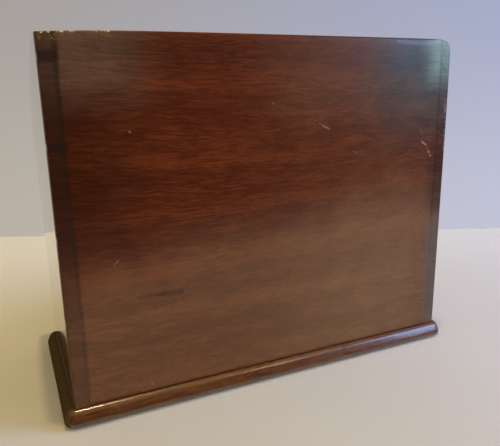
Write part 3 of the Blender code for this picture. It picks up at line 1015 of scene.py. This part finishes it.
BACK_WOOD = Mahogany(
    "rack_back_mahogany",
    GrainAxis.ALONG_X,
    CASE_DARK,
    CASE_MIDDLE,
    CASE_LIGHT,
    (0.042, 0.0165, 0.0075),
    3.7,
    ior=1.34,
    faded_and_lit=FADED_AND_LIT,
    tints=TINTS,
    marks=JOINT_SHADE_AND_SHEEN_MARKS + BACK_MARKS,
)
SIDE_WOOD = Mahogany(
    "rack_side_mahogany",
    GrainAxis.ALONG_Y,
    CASE_DARK,
    CASE_MIDDLE,
    CASE_LIGHT,
    CASE_END,
    11.3,
    ior=1.34,
    roughness=0.10,
    relief=0.02,
    coat=1.0,
    faded_and_lit=FADED_AND_LIT,
    tints=TINTS,
    soft_pins=True,
    marks=JOINT_SHADE_AND_SHEEN_MARKS,
)
FRONT_WOOD = Mahogany(
    "rack_front_mahogany", GrainAxis.ALONG_X, CASE_DARK, CASE_MIDDLE, CASE_LIGHT, CASE_END, 19.1
)
DIVIDER_WOOD = Mahogany(
    "rack_divider_mahogany",
    GrainAxis.ALONG_X,
    (0.072, 0.019, 0.006),
    (0.110, 0.031, 0.010),
    (0.160, 0.052, 0.018),
    (0.030, 0.014, 0.009),
    27.9,
    roughness=0.34,
)
BASE_WOOD = Mahogany(
    "rack_base_mahogany",
    GrainAxis.FLAT_ALONG_X,
    (0.042, 0.0105, 0.0020),
    (0.070, 0.0200, 0.0034),
    (0.110, 0.0370, 0.0065),
    (0.050, 0.031, 0.013),
    35.3,
    roughness=0.28,
    coat=1.0,
    coat_roughness=0.15,
    dull_ends=True,
    end_edge=(0.50, 0.70),
)


# Sub-assemblies


def pin_rows(inward: float, gap: float) -> list[float]:
    """The heights where pins and tails meet, from the bottom up.

    Args:
        inward: 0 on the outer face of the side, 1 on its inner face.
        gap: how much wider than the pin each space is, on either edge.

    Returns:
        The half pin's top, then each pin's bottom and top.
    """
    half_pin = HALF_PIN_OUTER + (HALF_PIN_INNER - HALF_PIN_OUTER) * inward
    half = PIN_HALF_OUTER + (PIN_HALF_INNER - PIN_HALF_OUTER) * inward
    rows = [half_pin + gap]
    for centre in PIN_CENTRES:
        rows += [centre - half - gap, centre + half + gap]
    return rows


def dressed(piece: bpy.types.Object, node: str) -> bpy.types.Object:
    """Lets a piece stand for a node.

    Args:
        piece: the piece.
        node: the node that it replaces.

    Returns:
        The piece.
    """
    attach(piece, "root")
    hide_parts(node)
    LOG.info("made %s for %s", piece.name, node)
    return piece


@dataclass
class TailBoard:
    """The back board, with the tails of the dovetails at both ends.

    The grid's steps are step in the middle, and past plain_half from it end_step at -X and chip_step at +X.
    """

    step: float = 0.0032
    chip_step: float = 0.0004
    end_step: float = 0.0014
    strip_step: float = 0.0009
    plain_half: float = 0.084
    foot_round: float = 0.0004
    head_margin: float = 0.004
    undulation: float = 0.00005
    swell_length: float = 0.06
    calm_reach: float = 0.02
    worn_radii: tuple[float, float] = (0.0108, 0.0043)
    chip_spans: tuple[tuple[float, float], ...] = ((0.0862, 0.0930), (0.1020, 0.1172))
    chip_lengths: tuple[float, float] = (0.0034, 0.0012)
    chip_depth: float = 0.00045
    chip_height: float = 0.0009
    scribe_depth: float = 0.00005
    scribe_half_width: float = 0.0003

    def scribed(self) -> float:
        """Returns the scribed line's distance from the middle."""
        return INNER_HALF_WIDTH - JOINT_LINE - self.scribe_half_width

    def columns(self) -> np.ndarray:
        """Places the grid's columns, close together at the ends, the scribed lines and the chips.

        Returns:
            The places in X.
        """
        socket, strip_start = INNER_HALF_WIDTH - JOINT_LINE, self.scribed() - self.scribe_half_width
        ends = [HALF_WIDTH - inset for inset in round_insets(EDGE_ROUND)]
        strip = filled([strip_start, self.scribed(), socket, *ends], self.strip_step)
        middle = filled([0, self.plain_half], self.step)[:-1]
        chipped = filled([self.plain_half, strip_start], self.chip_step)[:-1]
        worn = filled([self.plain_half, strip_start], self.end_step)[:-1]
        left = np.concatenate([middle, worn, strip])
        return np.concatenate([-left[:0:-1], middle, chipped, strip])

    def rows(self, inward: float) -> np.ndarray:
        """Places the grid's rows, which follow the pins.

        Args:
            inward: 0 for the pins' width on the outer face of the side, 1 for that on its inner face.

        Returns:
            The heights above the board's bottom.
        """
        edge = [BOARD_HEIGHT - inset for inset in round_insets(EDGE_ROUND)]
        head = [BOARD_HEIGHT - self.head_margin, *edge]
        stops = [0.0, self.foot_round, *pin_rows(0.5, JOINT_LINE), *head]
        exact = [0.0, self.foot_round, *pin_rows(inward, JOINT_LINE), *head]
        return np.interp(filled(stops, self.step), stops, exact)

    def bites(self, x: np.ndarray) -> np.ndarray:
        """How deep the top edge is chipped: the sum of two swells along X, cut off at 0 and 1, in the spans.

        Args:
            x: the places in X.

        Returns:
            The depths, from 0 to 1.
        """
        coarse, fine = self.chip_lengths
        depth = np.clip(waves(x, x * 0, coarse, 12, 5) + waves(x, x * 0, fine, 3, 4) * 0.8 - 0.02, 0, 1)
        return np.clip(depth * 3.2, 0, 1) * sum((x > low) & (x < high) for low, high in self.chip_spans)

    def build(self) -> bpy.types.Object:
        """Builds the board.

        The rear face is y = rear - quarter round - wear - swell, and the swell fades out at the ends. The
        rows follow the pins' slope inside the strip where they show.

        Returns:
            The piece.
        """
        x = self.columns()
        inward = np.clip((HALF_WIDTH - np.abs(x)) / SIDE_THICKNESS, 0, 1)
        outer_rows, inner_rows = self.rows(0), self.rows(1)
        z = outer_rows[:, None] * (1 - inward) + inner_rows[:, None] * inward
        x = np.broadcast_to(x, z.shape)
        to_end, to_top = HALF_WIDTH - np.abs(x), BOARD_HEIGHT - z
        fall = corner_drop(to_end, to_top, EDGE_ROUND) + round_drop(z, self.foot_round) + rear_wear(x, z)
        calm = [np.clip(distance / self.calm_reach, 0, 1) for distance in (to_end, to_top, z)]
        swell = self.undulation * (1 + waves(x, z, self.swell_length, 4))
        fall = fall + swell * calm[0] * calm[1] * calm[2]
        fall = fall + self.scribe_depth * (np.abs(np.abs(x) - self.scribed()) < TINY)
        bites = self.bites(x)
        bare = bites * np.clip(1 - to_top / self.chip_height, 0, 1)
        fall = fall + self.chip_depth * bare
        top = z - 0.6 * self.chip_depth * bites * (to_top < RIM_REACH)
        turned_x, turned_z = round_corner(x, top, (-HALF_WIDTH, BOARD_HEIGHT), (-1, 1), self.worn_radii)
        height = BODY_BOTTOM + turned_z - top_wear(x, z)
        outer = np.stack([turned_x, REAR_Y - fall, height], axis=-1)
        front = REAR_Y - BACK_THICKNESS + round_drop(to_top, EDGE_ROUND)
        inner = np.stack([turned_x, front, height], axis=-1)
        middle_x = (x[:-1, :-1] + x[:-1, 1:]) / 2
        joints = np.concatenate([[0], pin_rows(1, JOINT_LINE)])
        middle_z = (inner_rows[:-1] + inner_rows[1:]) / 2
        in_pin = (np.searchsorted(joints, middle_z) % 2 == 1)[:, None]
        kept = ~(in_pin & (np.abs(middle_x) > INNER_HALF_WIDTH - JOINT_LINE))
        slab = Slab(outer, inner, kept)
        both = np.concatenate([bare.ravel(), np.zeros(bare.size)])
        piece = new_piece("tail_board", slab.points(), slab.faces(), BACK_WOOD.build(), bare=both)
        return dressed(piece, "back_board")


@dataclass
class HousedBoard:
    """The front board or a divider: level ends, a dipped middle, and ends that sit in grooves."""

    name: str
    node: str
    slot: str
    wood: Mahogany
    top_round: float = 0.0016
    dip_width: float = 0.118
    dip_depth: float = 0.013
    step: float = 0.0025
    row_step: float = 0.004
    undulation: float = 0.00004
    swell_length: float = 0.05

    def build(self, material: bpy.types.Material) -> bpy.types.Object:
        """Builds the board.

        Its top is height - dip * (1 + cos(pi * x / half width)) / 2 in the dip, and level beside it.

        Args:
            material: its finish.

        Returns:
            The piece.
        """
        low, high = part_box(self.node)
        half, height = INNER_HALF_WIDTH + HOUSING_DEPTH - JOINT_LINE, high.z - low.z
        dip = self.dip_width / 2
        x = filled([-half, -INNER_HALF_WIDTH, -dip, dip, INNER_HALF_WIDTH, half], self.step)
        shares = filled([0.0, height - self.dip_depth - self.top_round], self.row_step)
        drop = self.dip_depth * (1 + np.cos(math.pi * np.clip(x / dip, -1, 1))) / 2
        top = (height - drop)[:, None]
        body = (shares / shares[-1])[None, :] * (top - self.top_round)
        z = np.concatenate([body[:, :-1], top - np.array(round_insets(self.top_round, 5))], axis=1)
        x = np.broadcast_to(x[:, None], z.shape)
        swell = self.undulation * (1 + waves(x, z, self.swell_length, len(self.name)))
        fall = round_drop(top - z, self.top_round) + swell
        outer = np.stack([x, low.y + fall, low.z + z], axis=-1)
        inner = np.stack([x, high.y - fall, low.z + z], axis=-1)
        slab = Slab(outer, inner, np.ones((z.shape[0] - 1, z.shape[1] - 1), bool))
        piece = new_piece(self.name, slab.points(), slab.faces(), material)
        return dressed(piece, self.node)


@dataclass
class PinBoard:
    """A side of the case: pins at the rear, grooves inside, and a quarter ellipse down to the front."""

    name: str
    node: str
    sign: int
    grooves: list[tuple[float, float, float]]
    level_top: float = 0.0092
    curve_fall: float = 0.0626
    curve_points: int = 220
    relaxed: float = 0.016
    steepest: float = 9
    step: float = 0.0028
    row_step: float = 0.0035
    head_margin: float = 0.003
    front_margins: tuple[float, float] = (0.002, 0.0014)
    undulation: float = 0.00001
    swell_length: float = 0.07
    back_wear_reach: float = 0.004
    top_wear_reach: float = 0.014

    def height(self, along: np.ndarray) -> np.ndarray:
        """The top's height: past its level run it lies fall * (1 - sqrt(1 - share^2)) below the full height.

        Args:
            along: the distance from the rear, whose share of the curve's length is meant.

        Returns:
            The height.
        """
        share = np.clip((along - self.level_top) / (BODY_DEPTH - self.level_top), 0, 1)
        return BOARD_HEIGHT - self.curve_fall * (1 - np.sqrt(1 - share**2))

    def groove_spans(self) -> list[tuple[float, float, float]]:
        """Finds the grooves' edges.

        Returns:
            Each groove's rear and front edge, as distances from the rear, and its top, the rearmost first.
        """
        return [
            (REAR_Y - high_y - JOINT_LINE, REAR_Y - low_y + JOINT_LINE, top)
            for low_y, high_y, top in sorted(self.grooves, reverse=True)
        ]

    def columns(self) -> np.ndarray:
        """Places the grid's columns, with two a hair apart at each edge of a groove.

        Returns:
            The distances from the rear edge.
        """
        stops = [*round_insets(EDGE_ROUND)[::-1], BACK_THICKNESS + JOINT_LINE, self.level_top]
        for rear, front, _ in self.groove_spans():
            stops += [rear, rear + HAIR, front - HAIR, front]
        stops += [BODY_DEPTH - margin for margin in self.front_margins]
        stops += [BODY_DEPTH - inset for inset in round_insets(EDGE_ROUND)]
        return filled(stops, self.step)

    def rows(self, inward: float) -> np.ndarray:
        """Places the grid's rows at the rear, which follow the pins.

        Args:
            inward: 0 for the pins' width on the outer face, 1 for that on the inner face.

        Returns:
            The heights above the side's bottom.
        """
        edge = [BOARD_HEIGHT - inset for inset in round_insets(EDGE_ROUND)]
        tops = [top + change for _, _, top in self.grooves for change in (JOINT_LINE, JOINT_LINE + HAIR)]
        middle = sorted([0.0, *pin_rows(0.5, 0), *tops, BOARD_HEIGHT - self.head_margin])
        exact = sorted([*zip(pin_rows(0.5, 0), pin_rows(inward, 0)), *[(value, value) for value in tops]])
        known = [0.0, *[pair[0] for pair in exact], BOARD_HEIGHT]
        wanted = [0.0, *[pair[1] for pair in exact], BOARD_HEIGHT]
        return np.interp(filled([*middle, *edge], self.row_step), known, wanted)

    def face(self, inward: float) -> tuple[np.ndarray, np.ndarray, np.ndarray]:
        """The grid of one face.

        A row keeps its height up to 16 mm below the top of its column, and above that the rows close up to
        fit under the curve. Those of the rounded edge keep their distance from it along its normal.

        Args:
            inward: 0 for the outer face, 1 for the inner.

        Returns:
            The distance from the rear, the height, and the distance to the curved top and front.
        """
        along = self.columns()[:, None]
        rows = self.rows(inward)[None, :]
        top = self.height(along)
        start = top - self.relaxed
        rim = BOARD_HEIGHT - rows
        slope = np.gradient(top[:, 0], along[:, 0])[:, None]
        steep = np.minimum(np.sqrt(1 + slope**2), self.steepest)
        share = (rows - start) / (BOARD_HEIGHT - EDGE_ROUND - start)
        up = np.where(rows <= start, rows, start + share * (self.relaxed - EDGE_ROUND * steep))
        up = np.where(rim < RIM_REACH, top - rim * steep, up)
        along = np.broadcast_to(along, up.shape)
        angles = np.linspace(0, math.pi / 2, self.curve_points)
        run = BODY_DEPTH - self.level_top
        curve = (self.level_top + run * np.sin(angles), BOARD_HEIGHT - self.curve_fall * (1 - np.cos(angles)))
        edge = np.concatenate([[[0, BOARD_HEIGHT]], np.stack(curve, -1), [[BODY_DEPTH, 0]]])
        starts, ends = edge[:-1], edge[1:]
        ways = ends - starts
        spots = np.stack([along, up], -1)[:, :, None, :]
        feet = np.clip(((spots - starts) * ways).sum(-1) / (ways**2).sum(-1), 0, 1)
        distance = np.linalg.norm(spots - starts - feet[..., None] * ways, axis=-1).min(-1)
        return along, up, distance

    def worn(self, half_x: float, x: np.ndarray, along: np.ndarray, up: np.ndarray) -> np.ndarray:
        """Turns one face into points, with the same wear at its rear as the back board has.

        The rear's wear fades out over a few millimetres from the rear edge, and the top's more slowly.

        Args:
            half_x: the face's distance from the middle.
            x: the points' places in X.
            along: their distances from the rear.
            up: their heights above the bottom.

        Returns:
            The points.
        """
        place = self.sign * half_x
        back = rear_wear(place, up) * np.clip(1 - along / self.back_wear_reach, 0, 1)
        drop = top_wear(place, up + BOARD_HEIGHT - self.height(along)) * np.exp(-along / self.top_wear_reach)
        return np.stack([x, REAR_Y - along - back, BODY_BOTTOM + up - drop], axis=-1)

    def build(self, material: bpy.types.Material) -> bpy.types.Object:
        """Builds the side. Its outer face falls by a quarter round along the top, the front and the rear.

        Args:
            material: its finish.

        Returns:
            The piece.
        """
        along, up, rim = self.face(0)
        swell = self.undulation * (1 + waves(along, up, self.swell_length, 8))
        fall = corner_drop(along, rim, EDGE_ROUND) + swell
        outer = self.worn(HALF_WIDTH, self.sign * (HALF_WIDTH - fall), along, up)
        along, up, rim = self.face(1)
        depth = round_drop(rim, EDGE_ROUND)
        for rear, front, top in self.groove_spans():
            sunk = (along > rear + HAIR / 2) & (along < front - HAIR / 2) & (up < top + JOINT_LINE + HAIR / 2)
            depth = np.where(sunk, HOUSING_DEPTH, depth)
        inner = self.worn(INNER_HALF_WIDTH, self.sign * (INNER_HALF_WIDTH + depth), along, up)
        rows, columns = self.rows(1), self.columns()
        joints = np.concatenate([[0], pin_rows(1, 0)])
        in_tail = np.searchsorted(joints, (rows[:-1] + rows[1:]) / 2) % 2 == 0
        at_rear = (columns[:-1] + columns[1:]) / 2 < BACK_THICKNESS + JOINT_LINE
        slab = Slab(outer, inner, ~(at_rear[:, None] & in_tail[None, :]))
        faces = slab.faces() if self.sign < 0 else slab.faces()[:, ::-1]
        piece = new_piece(self.name, slab.points(), faces, material)
        return dressed(piece, self.node)


@dataclass
class BullnoseBase:
    """The base board with its bullnosed edge, and the baize under it."""

    corner_radius: float = 0.0062
    upper_arcs: tuple[tuple[float, float, int], ...] = ((0.0038, 63.0, 16), (0.0440, 68.0, 8))
    lower_steps: int = 24
    flat_step: float = 0.00025
    path_step: float = 0.0022
    undulation: float = 0.00006
    swell_length: float = 0.045
    dents: tuple[tuple[float, float, float, float, float], ...] = (
        (0.1130, 0.0555, 0.0118, 0.0009, 0.00030),
        (0.1085, 0.0560, 0.0064, 0.0016, 0.00022),
        (-0.0363, 0.0560, 0.0061, 0.0012, 0.00016),
        (-0.0410, 0.0560, 0.0080, 0.0022, 0.00012),
        (-0.0905, -0.0555, 0.0076, 0.0014, 0.00022),
    )
    baize_radius: float = 0.004
    baize_step: float = 0.004
    nap_depth: float = 0.00003
    nap_length: float = 0.009

    def profile(self, thickness: float) -> tuple[np.ndarray, np.ndarray, np.ndarray]:
        """Works out the nose's profile: arcs that follow each other without a corner.

        On an arc, out = start + r * (sin(a) - sin(a0)) and drop = start + r * (cos(a0) - cos(a)), where a is
        how far the face leans from level. The last arc ends underneath, level again, so its radius is the
        height that is left over 1 + cos(a0).

        Args:
            thickness: the board's thickness.

        Returns:
            How far out and how far down each point lies, and its lean.
        """
        out, drop, leans, lean = [np.zeros(1)], [np.zeros(1)], [np.zeros(1)], 0.0
        for radius, end, steps in (*self.upper_arcs, (0.0, 180.0, self.lower_steps)):
            radius = radius or (thickness - drop[-1][-1]) / (1 + math.cos(lean))
            angles = np.linspace(lean, math.radians(end), steps + 1)[1:]
            out.append(out[-1][-1] + radius * (np.sin(angles) - math.sin(lean)))
            drop.append(drop[-1][-1] + radius * (math.cos(lean) - np.cos(angles)))
            leans.append(angles)
            lean = angles[-1]
        return np.concatenate(out), np.concatenate(drop), np.concatenate(leans)

    def build(self) -> bpy.types.Object:
        """Builds the base.

        The nose's profile is carried round a rounded rectangle that lies the nose's run inside the edge. A
        swell and some dents are pressed into it along the normal, each dent, given as x, y, z, reach and
        depth, by depth * exp(-(distance / reach)^2).

        Returns:
            The piece.
        """
        low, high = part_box("base_board")
        out, drop, leans = self.profile(high.z - low.z)
        run, inset = out.max(), np.array([2, 1]) * self.flat_step
        out = np.concatenate([-inset, out, out[-1] - inset[::-1]])
        up = high.z - np.concatenate([[0, 0], drop, [drop[-1]] * 2])
        leans = np.concatenate([[0, 0], leans, [math.pi] * 2])
        path, normals = rounded_path(high.x - run, high.y - run, self.corner_radius - run, self.path_step)
        around = np.cumsum(np.linalg.norm(np.diff(path, axis=0, prepend=path[:1]), axis=1))[:, None]
        swell = 1 + waves(around, up[None, :] * 2, self.swell_length, 21)
        press = self.undulation * swell * np.sin(leans)
        level = path[:, None, :] + out[None, :, None] * normals[:, None, :]
        spots = np.concatenate([level, np.broadcast_to(up[None, :, None], (*level.shape[:2], 1))], -1)
        for x, y, z, reach, depth in self.dents:
            distance = np.linalg.norm(spots - np.array([x, y, z]), axis=-1)
            press = press + depth * np.exp(-((distance / reach) ** 2))
        offsets = out[None, :] - press * np.sin(leans)
        heights = up[None, :] - press * np.cos(leans)
        points, quads = swept_ring(path, normals, offsets, heights)
        index = np.arange(offsets.size).reshape(offsets.shape)
        caps = [index[:, 0], index[::-1, -1]]
        piece = new_piece("bullnose_base", points, quads, BASE_WOOD.build(), caps)
        return dressed(piece, "base_board")

    def lay_baize(self) -> bpy.types.Object:
        """Lays the baize: two level grids with rounded corners, a cloth's thickness apart.

        Returns:
            The piece.
        """
        low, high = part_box("baize_sheet")
        radius = self.baize_radius
        x = filled([low.x, low.x + radius, high.x - radius, high.x], self.baize_step)
        y = filled([low.y, low.y + radius, high.y - radius, high.y], self.baize_step)
        x, y = np.meshgrid(x, y, indexing="ij")
        for sign_x, sign_y in ((-1, -1), (-1, 1), (1, -1), (1, 1)):
            edges = (high.x * sign_x, high.y * sign_y)
            x, y = round_corner(x, y, edges, (sign_x, sign_y), (radius, radius))
        nap = self.nap_depth * (1 + waves(x, y, self.nap_length, 31))
        outer = np.stack([x, y, high.z - nap], axis=-1)
        inner = np.stack([x, y, np.full(x.shape, low.z)], axis=-1)
        slab = Slab(outer, inner, np.ones((x.shape[0] - 1, x.shape[1] - 1), bool))
        piece = new_piece("green_baize_sheet", slab.points(), slab.faces(), Baize().build())
        dressed(piece, "baize_sheet")
        return piece


# Studio


BACKDROP: Rgb = (0.60, 0.60, 0.62)


@dataclass(frozen=True)
class Lamp:
    """A flat lamp that the camera doesn't see."""

    name: str
    place: Rgb
    target: Rgb
    size: tuple[float, float]
    power: float
    colour: Rgb
    in_reflections: bool

    def hang(self) -> None:
        """Hangs the lamp, turned to its target."""
        data = bpy.data.lights.new(self.name, "AREA")
        data.shape = "RECTANGLE"
        data.size, data.size_y = self.size
        data.energy, data.color = self.power, self.colour
        light = bpy.data.objects.new(self.name, data)
        light.location = self.place
        way = Vector(self.target) - Vector(self.place)
        light.rotation_euler = way.to_track_quat("-Z", "Y").to_euler()
        light.visible_camera, light.visible_glossy = False, self.in_reflections
        bpy.context.scene.collection.objects.link(light)


# A warm lamp overhead, a cool window to the right and its sky, a shaded lamp further off, and a soft fill.
LAMPS = (
    Lamp("overhead_lamp", (0.03, 0.12, 1.5), (0.03, 0.06, 0), (0.04, 0.04), 6.8, (1.0, 0.78, 0.42), True),
    Lamp("window_light", (-0.816, 0.683, 0.42), (-0.1, 0.05, 0.1), (0.41, 0.43), 4.3, (0.4, 0.57, 1.0), True),
    Lamp("sky_light", (-1.0, 0.42, 0.62), (-0.1, 0, 0), (0.5, 0.5), 14.5, (0.3, 0.5, 1.0), False),
    Lamp("lampshade", (-0.597, 1.08, 0.93), (0, 0.056, 0.01), (0.08, 0.50), 1.35, (1.0, 0.72, 0.32), True),
    Lamp("soft_fill", (0.45, 1.5, 1.25), (0, 0, 0.08), (1.5, 1.2), 18.0, (1.0, 0.84, 0.55), False),
)


@dataclass
class Studio:
    """The floor, the wall behind, the lamps, the world and the camera."""

    floor_reach: float = 9.0
    wall_point: tuple[float, float] = (-0.124, -0.257)
    wall_normal: tuple[float, float] = (0.417, 0.909)
    wall_reach: float = 6.0
    wall_top: float = 4.0
    lens: float = 38.369
    sensor: float = 36.0
    camera_place: Rgb = (0.13645, 0.31077, 0.16832)
    camera_right: Rgb = (-0.90812, 0.41836, -0.01724)
    camera_up: Rgb = (-0.11679, -0.21353, 0.96993)
    camera_back: Rgb = (0.40209, 0.88283, 0.24277)

    def camera(self) -> None:
        """Puts the camera at the photograph's place."""
        data = bpy.data.cameras.new("rack_camera")
        data.lens, data.sensor_width = self.lens, self.sensor
        data.clip_start, data.clip_end = 0.01, 50
        camera = bpy.data.objects.new("rack_camera", data)
        turn = Matrix((self.camera_right, self.camera_up, self.camera_back)).transposed()
        camera.matrix_world = Matrix.Translation(self.camera_place) @ turn.to_4x4()
        bpy.context.scene.collection.objects.link(camera)
        bpy.context.scene.camera = camera

    def sheet(self, name: str, corners: list[Rgb], material: bpy.types.Material) -> bpy.types.Object:
        """Adds one flat face as a piece of the stage.

        Args:
            name: its name.
            corners: its corners, turning left as seen from its face.
            material: its finish.

        Returns:
            The object.
        """
        mesh = bpy.data.meshes.new(name)
        mesh.from_pydata(corners, [], [tuple(range(len(corners)))])
        mesh.materials.append(material)
        stage = bpy.data.objects.new(name, mesh)
        bpy.context.scene.collection.objects.link(stage)
        return stage

    def floor(self) -> None:
        """Lays the pale floor, painted lighter further off towards -Y and bluer towards -X, as painted light.

        Far off, the camera sees the backdrop instead. Reflections see the floor dark where it lies beyond
        0.4 m on the rear side.
        """
        material, graph = new_graph("studio_floor")
        place = graph.place()
        parts = graph.split(place)
        cloud = graph.noise(place, 7, 3)
        colour = graph.blend(cloud.rise(0.3, 0.7), (0.465, 0.430, 0.348), (0.480, 0.446, 0.363))
        # Painted light: lighter further off towards -Y.
        colour = graph.blend(parts["Y"].rise(0.10, -0.40), colour, (0.70, 0.655, 0.555))
        # Painted light: bluer towards -X, where the window's light falls.
        colour = graph.blend(parts["X"].rise(0.12, -0.16) * 0.11, colour, (0.50, 0.50, 0.95))
        surface = graph.node("ShaderNodeBsdfDiffuse", None, {"Color": colour}).outputs[0]
        camera, glossy = graph.rays()
        dark = parts["Y"].rise(0.36, 0.45) * glossy
        shader = graph.mixed(dark, surface, graph.glow((0.030, 0.020, 0.012)))
        away = graph.measure("LENGTH", {0: place}).rise(0.45, 1.3)
        graph.show(graph.mixed(away * camera, shader, graph.glow(BACKDROP)))
        reach = self.floor_reach
        corners = [(-reach, -reach, 0), (reach, -reach, 0), (reach, reach, 0), (-reach, reach, 0)]
        self.sheet("studio_floor", corners, material)

    def wall(self) -> None:
        """Stands the pale wall behind the rack. It is clear from its back and casts no shadow."""
        material, graph = new_graph("studio_wall")
        place = graph.place()
        normal = Vector((*self.wall_normal, 0)).normalized()
        side = Vector((-normal.y, normal.x, 0))
        across = graph.measure("DOT_PRODUCT", {0: place, 1: tuple(side)})
        # Painted light in the wall's glow: bluer towards -X and brighter low down.
        beside = across.rise(-0.35, 0.40)
        high = graph.blend(beside, (0.385, 0.355, 0.330), (0.372, 0.405, 0.585))
        low = graph.blend(beside, (0.487, 0.440, 0.370), (0.540, 0.555, 0.690))
        colour = graph.blend(graph.split(place)["Z"].rise(0.0, 0.30), low, high)
        colour = graph.blend(abs(across).rise(0.7, 2.6), colour, BACKDROP)
        clear = graph.node("ShaderNodeBsdfTransparent").outputs[0]
        behind = graph.value("ShaderNodeNewGeometry", None, None, "Backfacing")
        graph.show(graph.mixed(behind, graph.glow(colour), clear))
        foot = Vector((*self.wall_point, 0))
        ends = [foot + side * self.wall_reach, foot - side * self.wall_reach]
        raised = [end + Vector((0, 0, self.wall_top)) for end in ends]
        corners = [tuple(corner) for corner in (ends[0], raised[0], raised[1], ends[1])]
        wall = self.sheet("studio_wall", corners, material)
        wall.visible_shadow = wall.visible_diffuse = False

    def world(self) -> None:
        """Makes the world: pale for the camera, warm for light, and dim for reflections on the rear side."""
        world = bpy.data.worlds.new("studio_world")
        world.use_nodes = True
        bpy.context.scene.world = world
        graph = Graph(world.node_tree)
        way = graph.split(graph.node("ShaderNodeTexCoord").outputs["Generated"])
        camera, glossy = graph.rays()
        room = graph.blend(way["Z"].rise(0.30, 0.70), (0.028, 0.020, 0.011), (0.60, 0.42, 0.18))
        room = graph.blend(way["Y"].rise(0.45, 0.05), room, (0.40, 0.39, 0.37))
        colour = graph.blend(glossy, (0.45, 0.395, 0.275), room)
        colour = graph.blend(camera, colour, BACKDROP)
        background = graph.node("ShaderNodeBackground", None, {"Color": colour, "Strength": 1.0}).outputs[0]
        graph.node("ShaderNodeOutputWorld", None, {0: background})

    def build(self) -> None:
        """Sets the whole studio up."""
        self.camera()
        self.floor()
        self.wall()
        for lamp in LAMPS:
            lamp.hang()
        self.world()
        LOG.info("set up the studio")


def housed_boards() -> list[HousedBoard]:
    """Lists the boards that stand in grooves.

    Returns:
        The front board and the three dividers, from the front to the rear.
    """
    boards = [HousedBoard("front_wall", "front_board", "polished_mahogany", FRONT_WOOD)]
    for place in ("front", "middle", "rear"):
        name, node = f"letter_{place}_divider", f"divider_{place}"
        boards.append(HousedBoard(name, node, "divider_mahogany", DIVIDER_WOOD))
    return boards


def main() -> None:
    """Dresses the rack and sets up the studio."""
    logging.basicConfig(level=logging.INFO, format="%(message)s")
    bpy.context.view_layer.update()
    scene = bpy.context.scene
    scene.view_settings.view_transform = "Standard"
    Studio().build()
    base = BullnoseBase()
    base.build()
    base.lay_baize()
    TailBoard().build()
    boards = housed_boards()
    woods = {board.wood.name: board.wood.build() for board in boards}
    for board in boards:
        board.build(woods[board.wood.name])
    grooves = []
    for board in boards:
        low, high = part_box(board.node)
        grooves.append((low.y, high.y, high.z - BODY_BOTTOM))
    side_finish = SIDE_WOOD.build()
    for name, node, sign in (("left_pin_board", "side_left", -1), ("right_pin_board", "side_right", 1)):
        PinBoard(name, node, sign, grooves).build(side_finish)
    steel = ScrewSteel().build()
    for name, node in sorted(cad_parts.items()):
        if name.startswith("base_screw"):
            for slot in node.material_slots:
                slot.material = steel
            LOG.info("dressed %s", name)


if __name__ == "__main__":
    main()
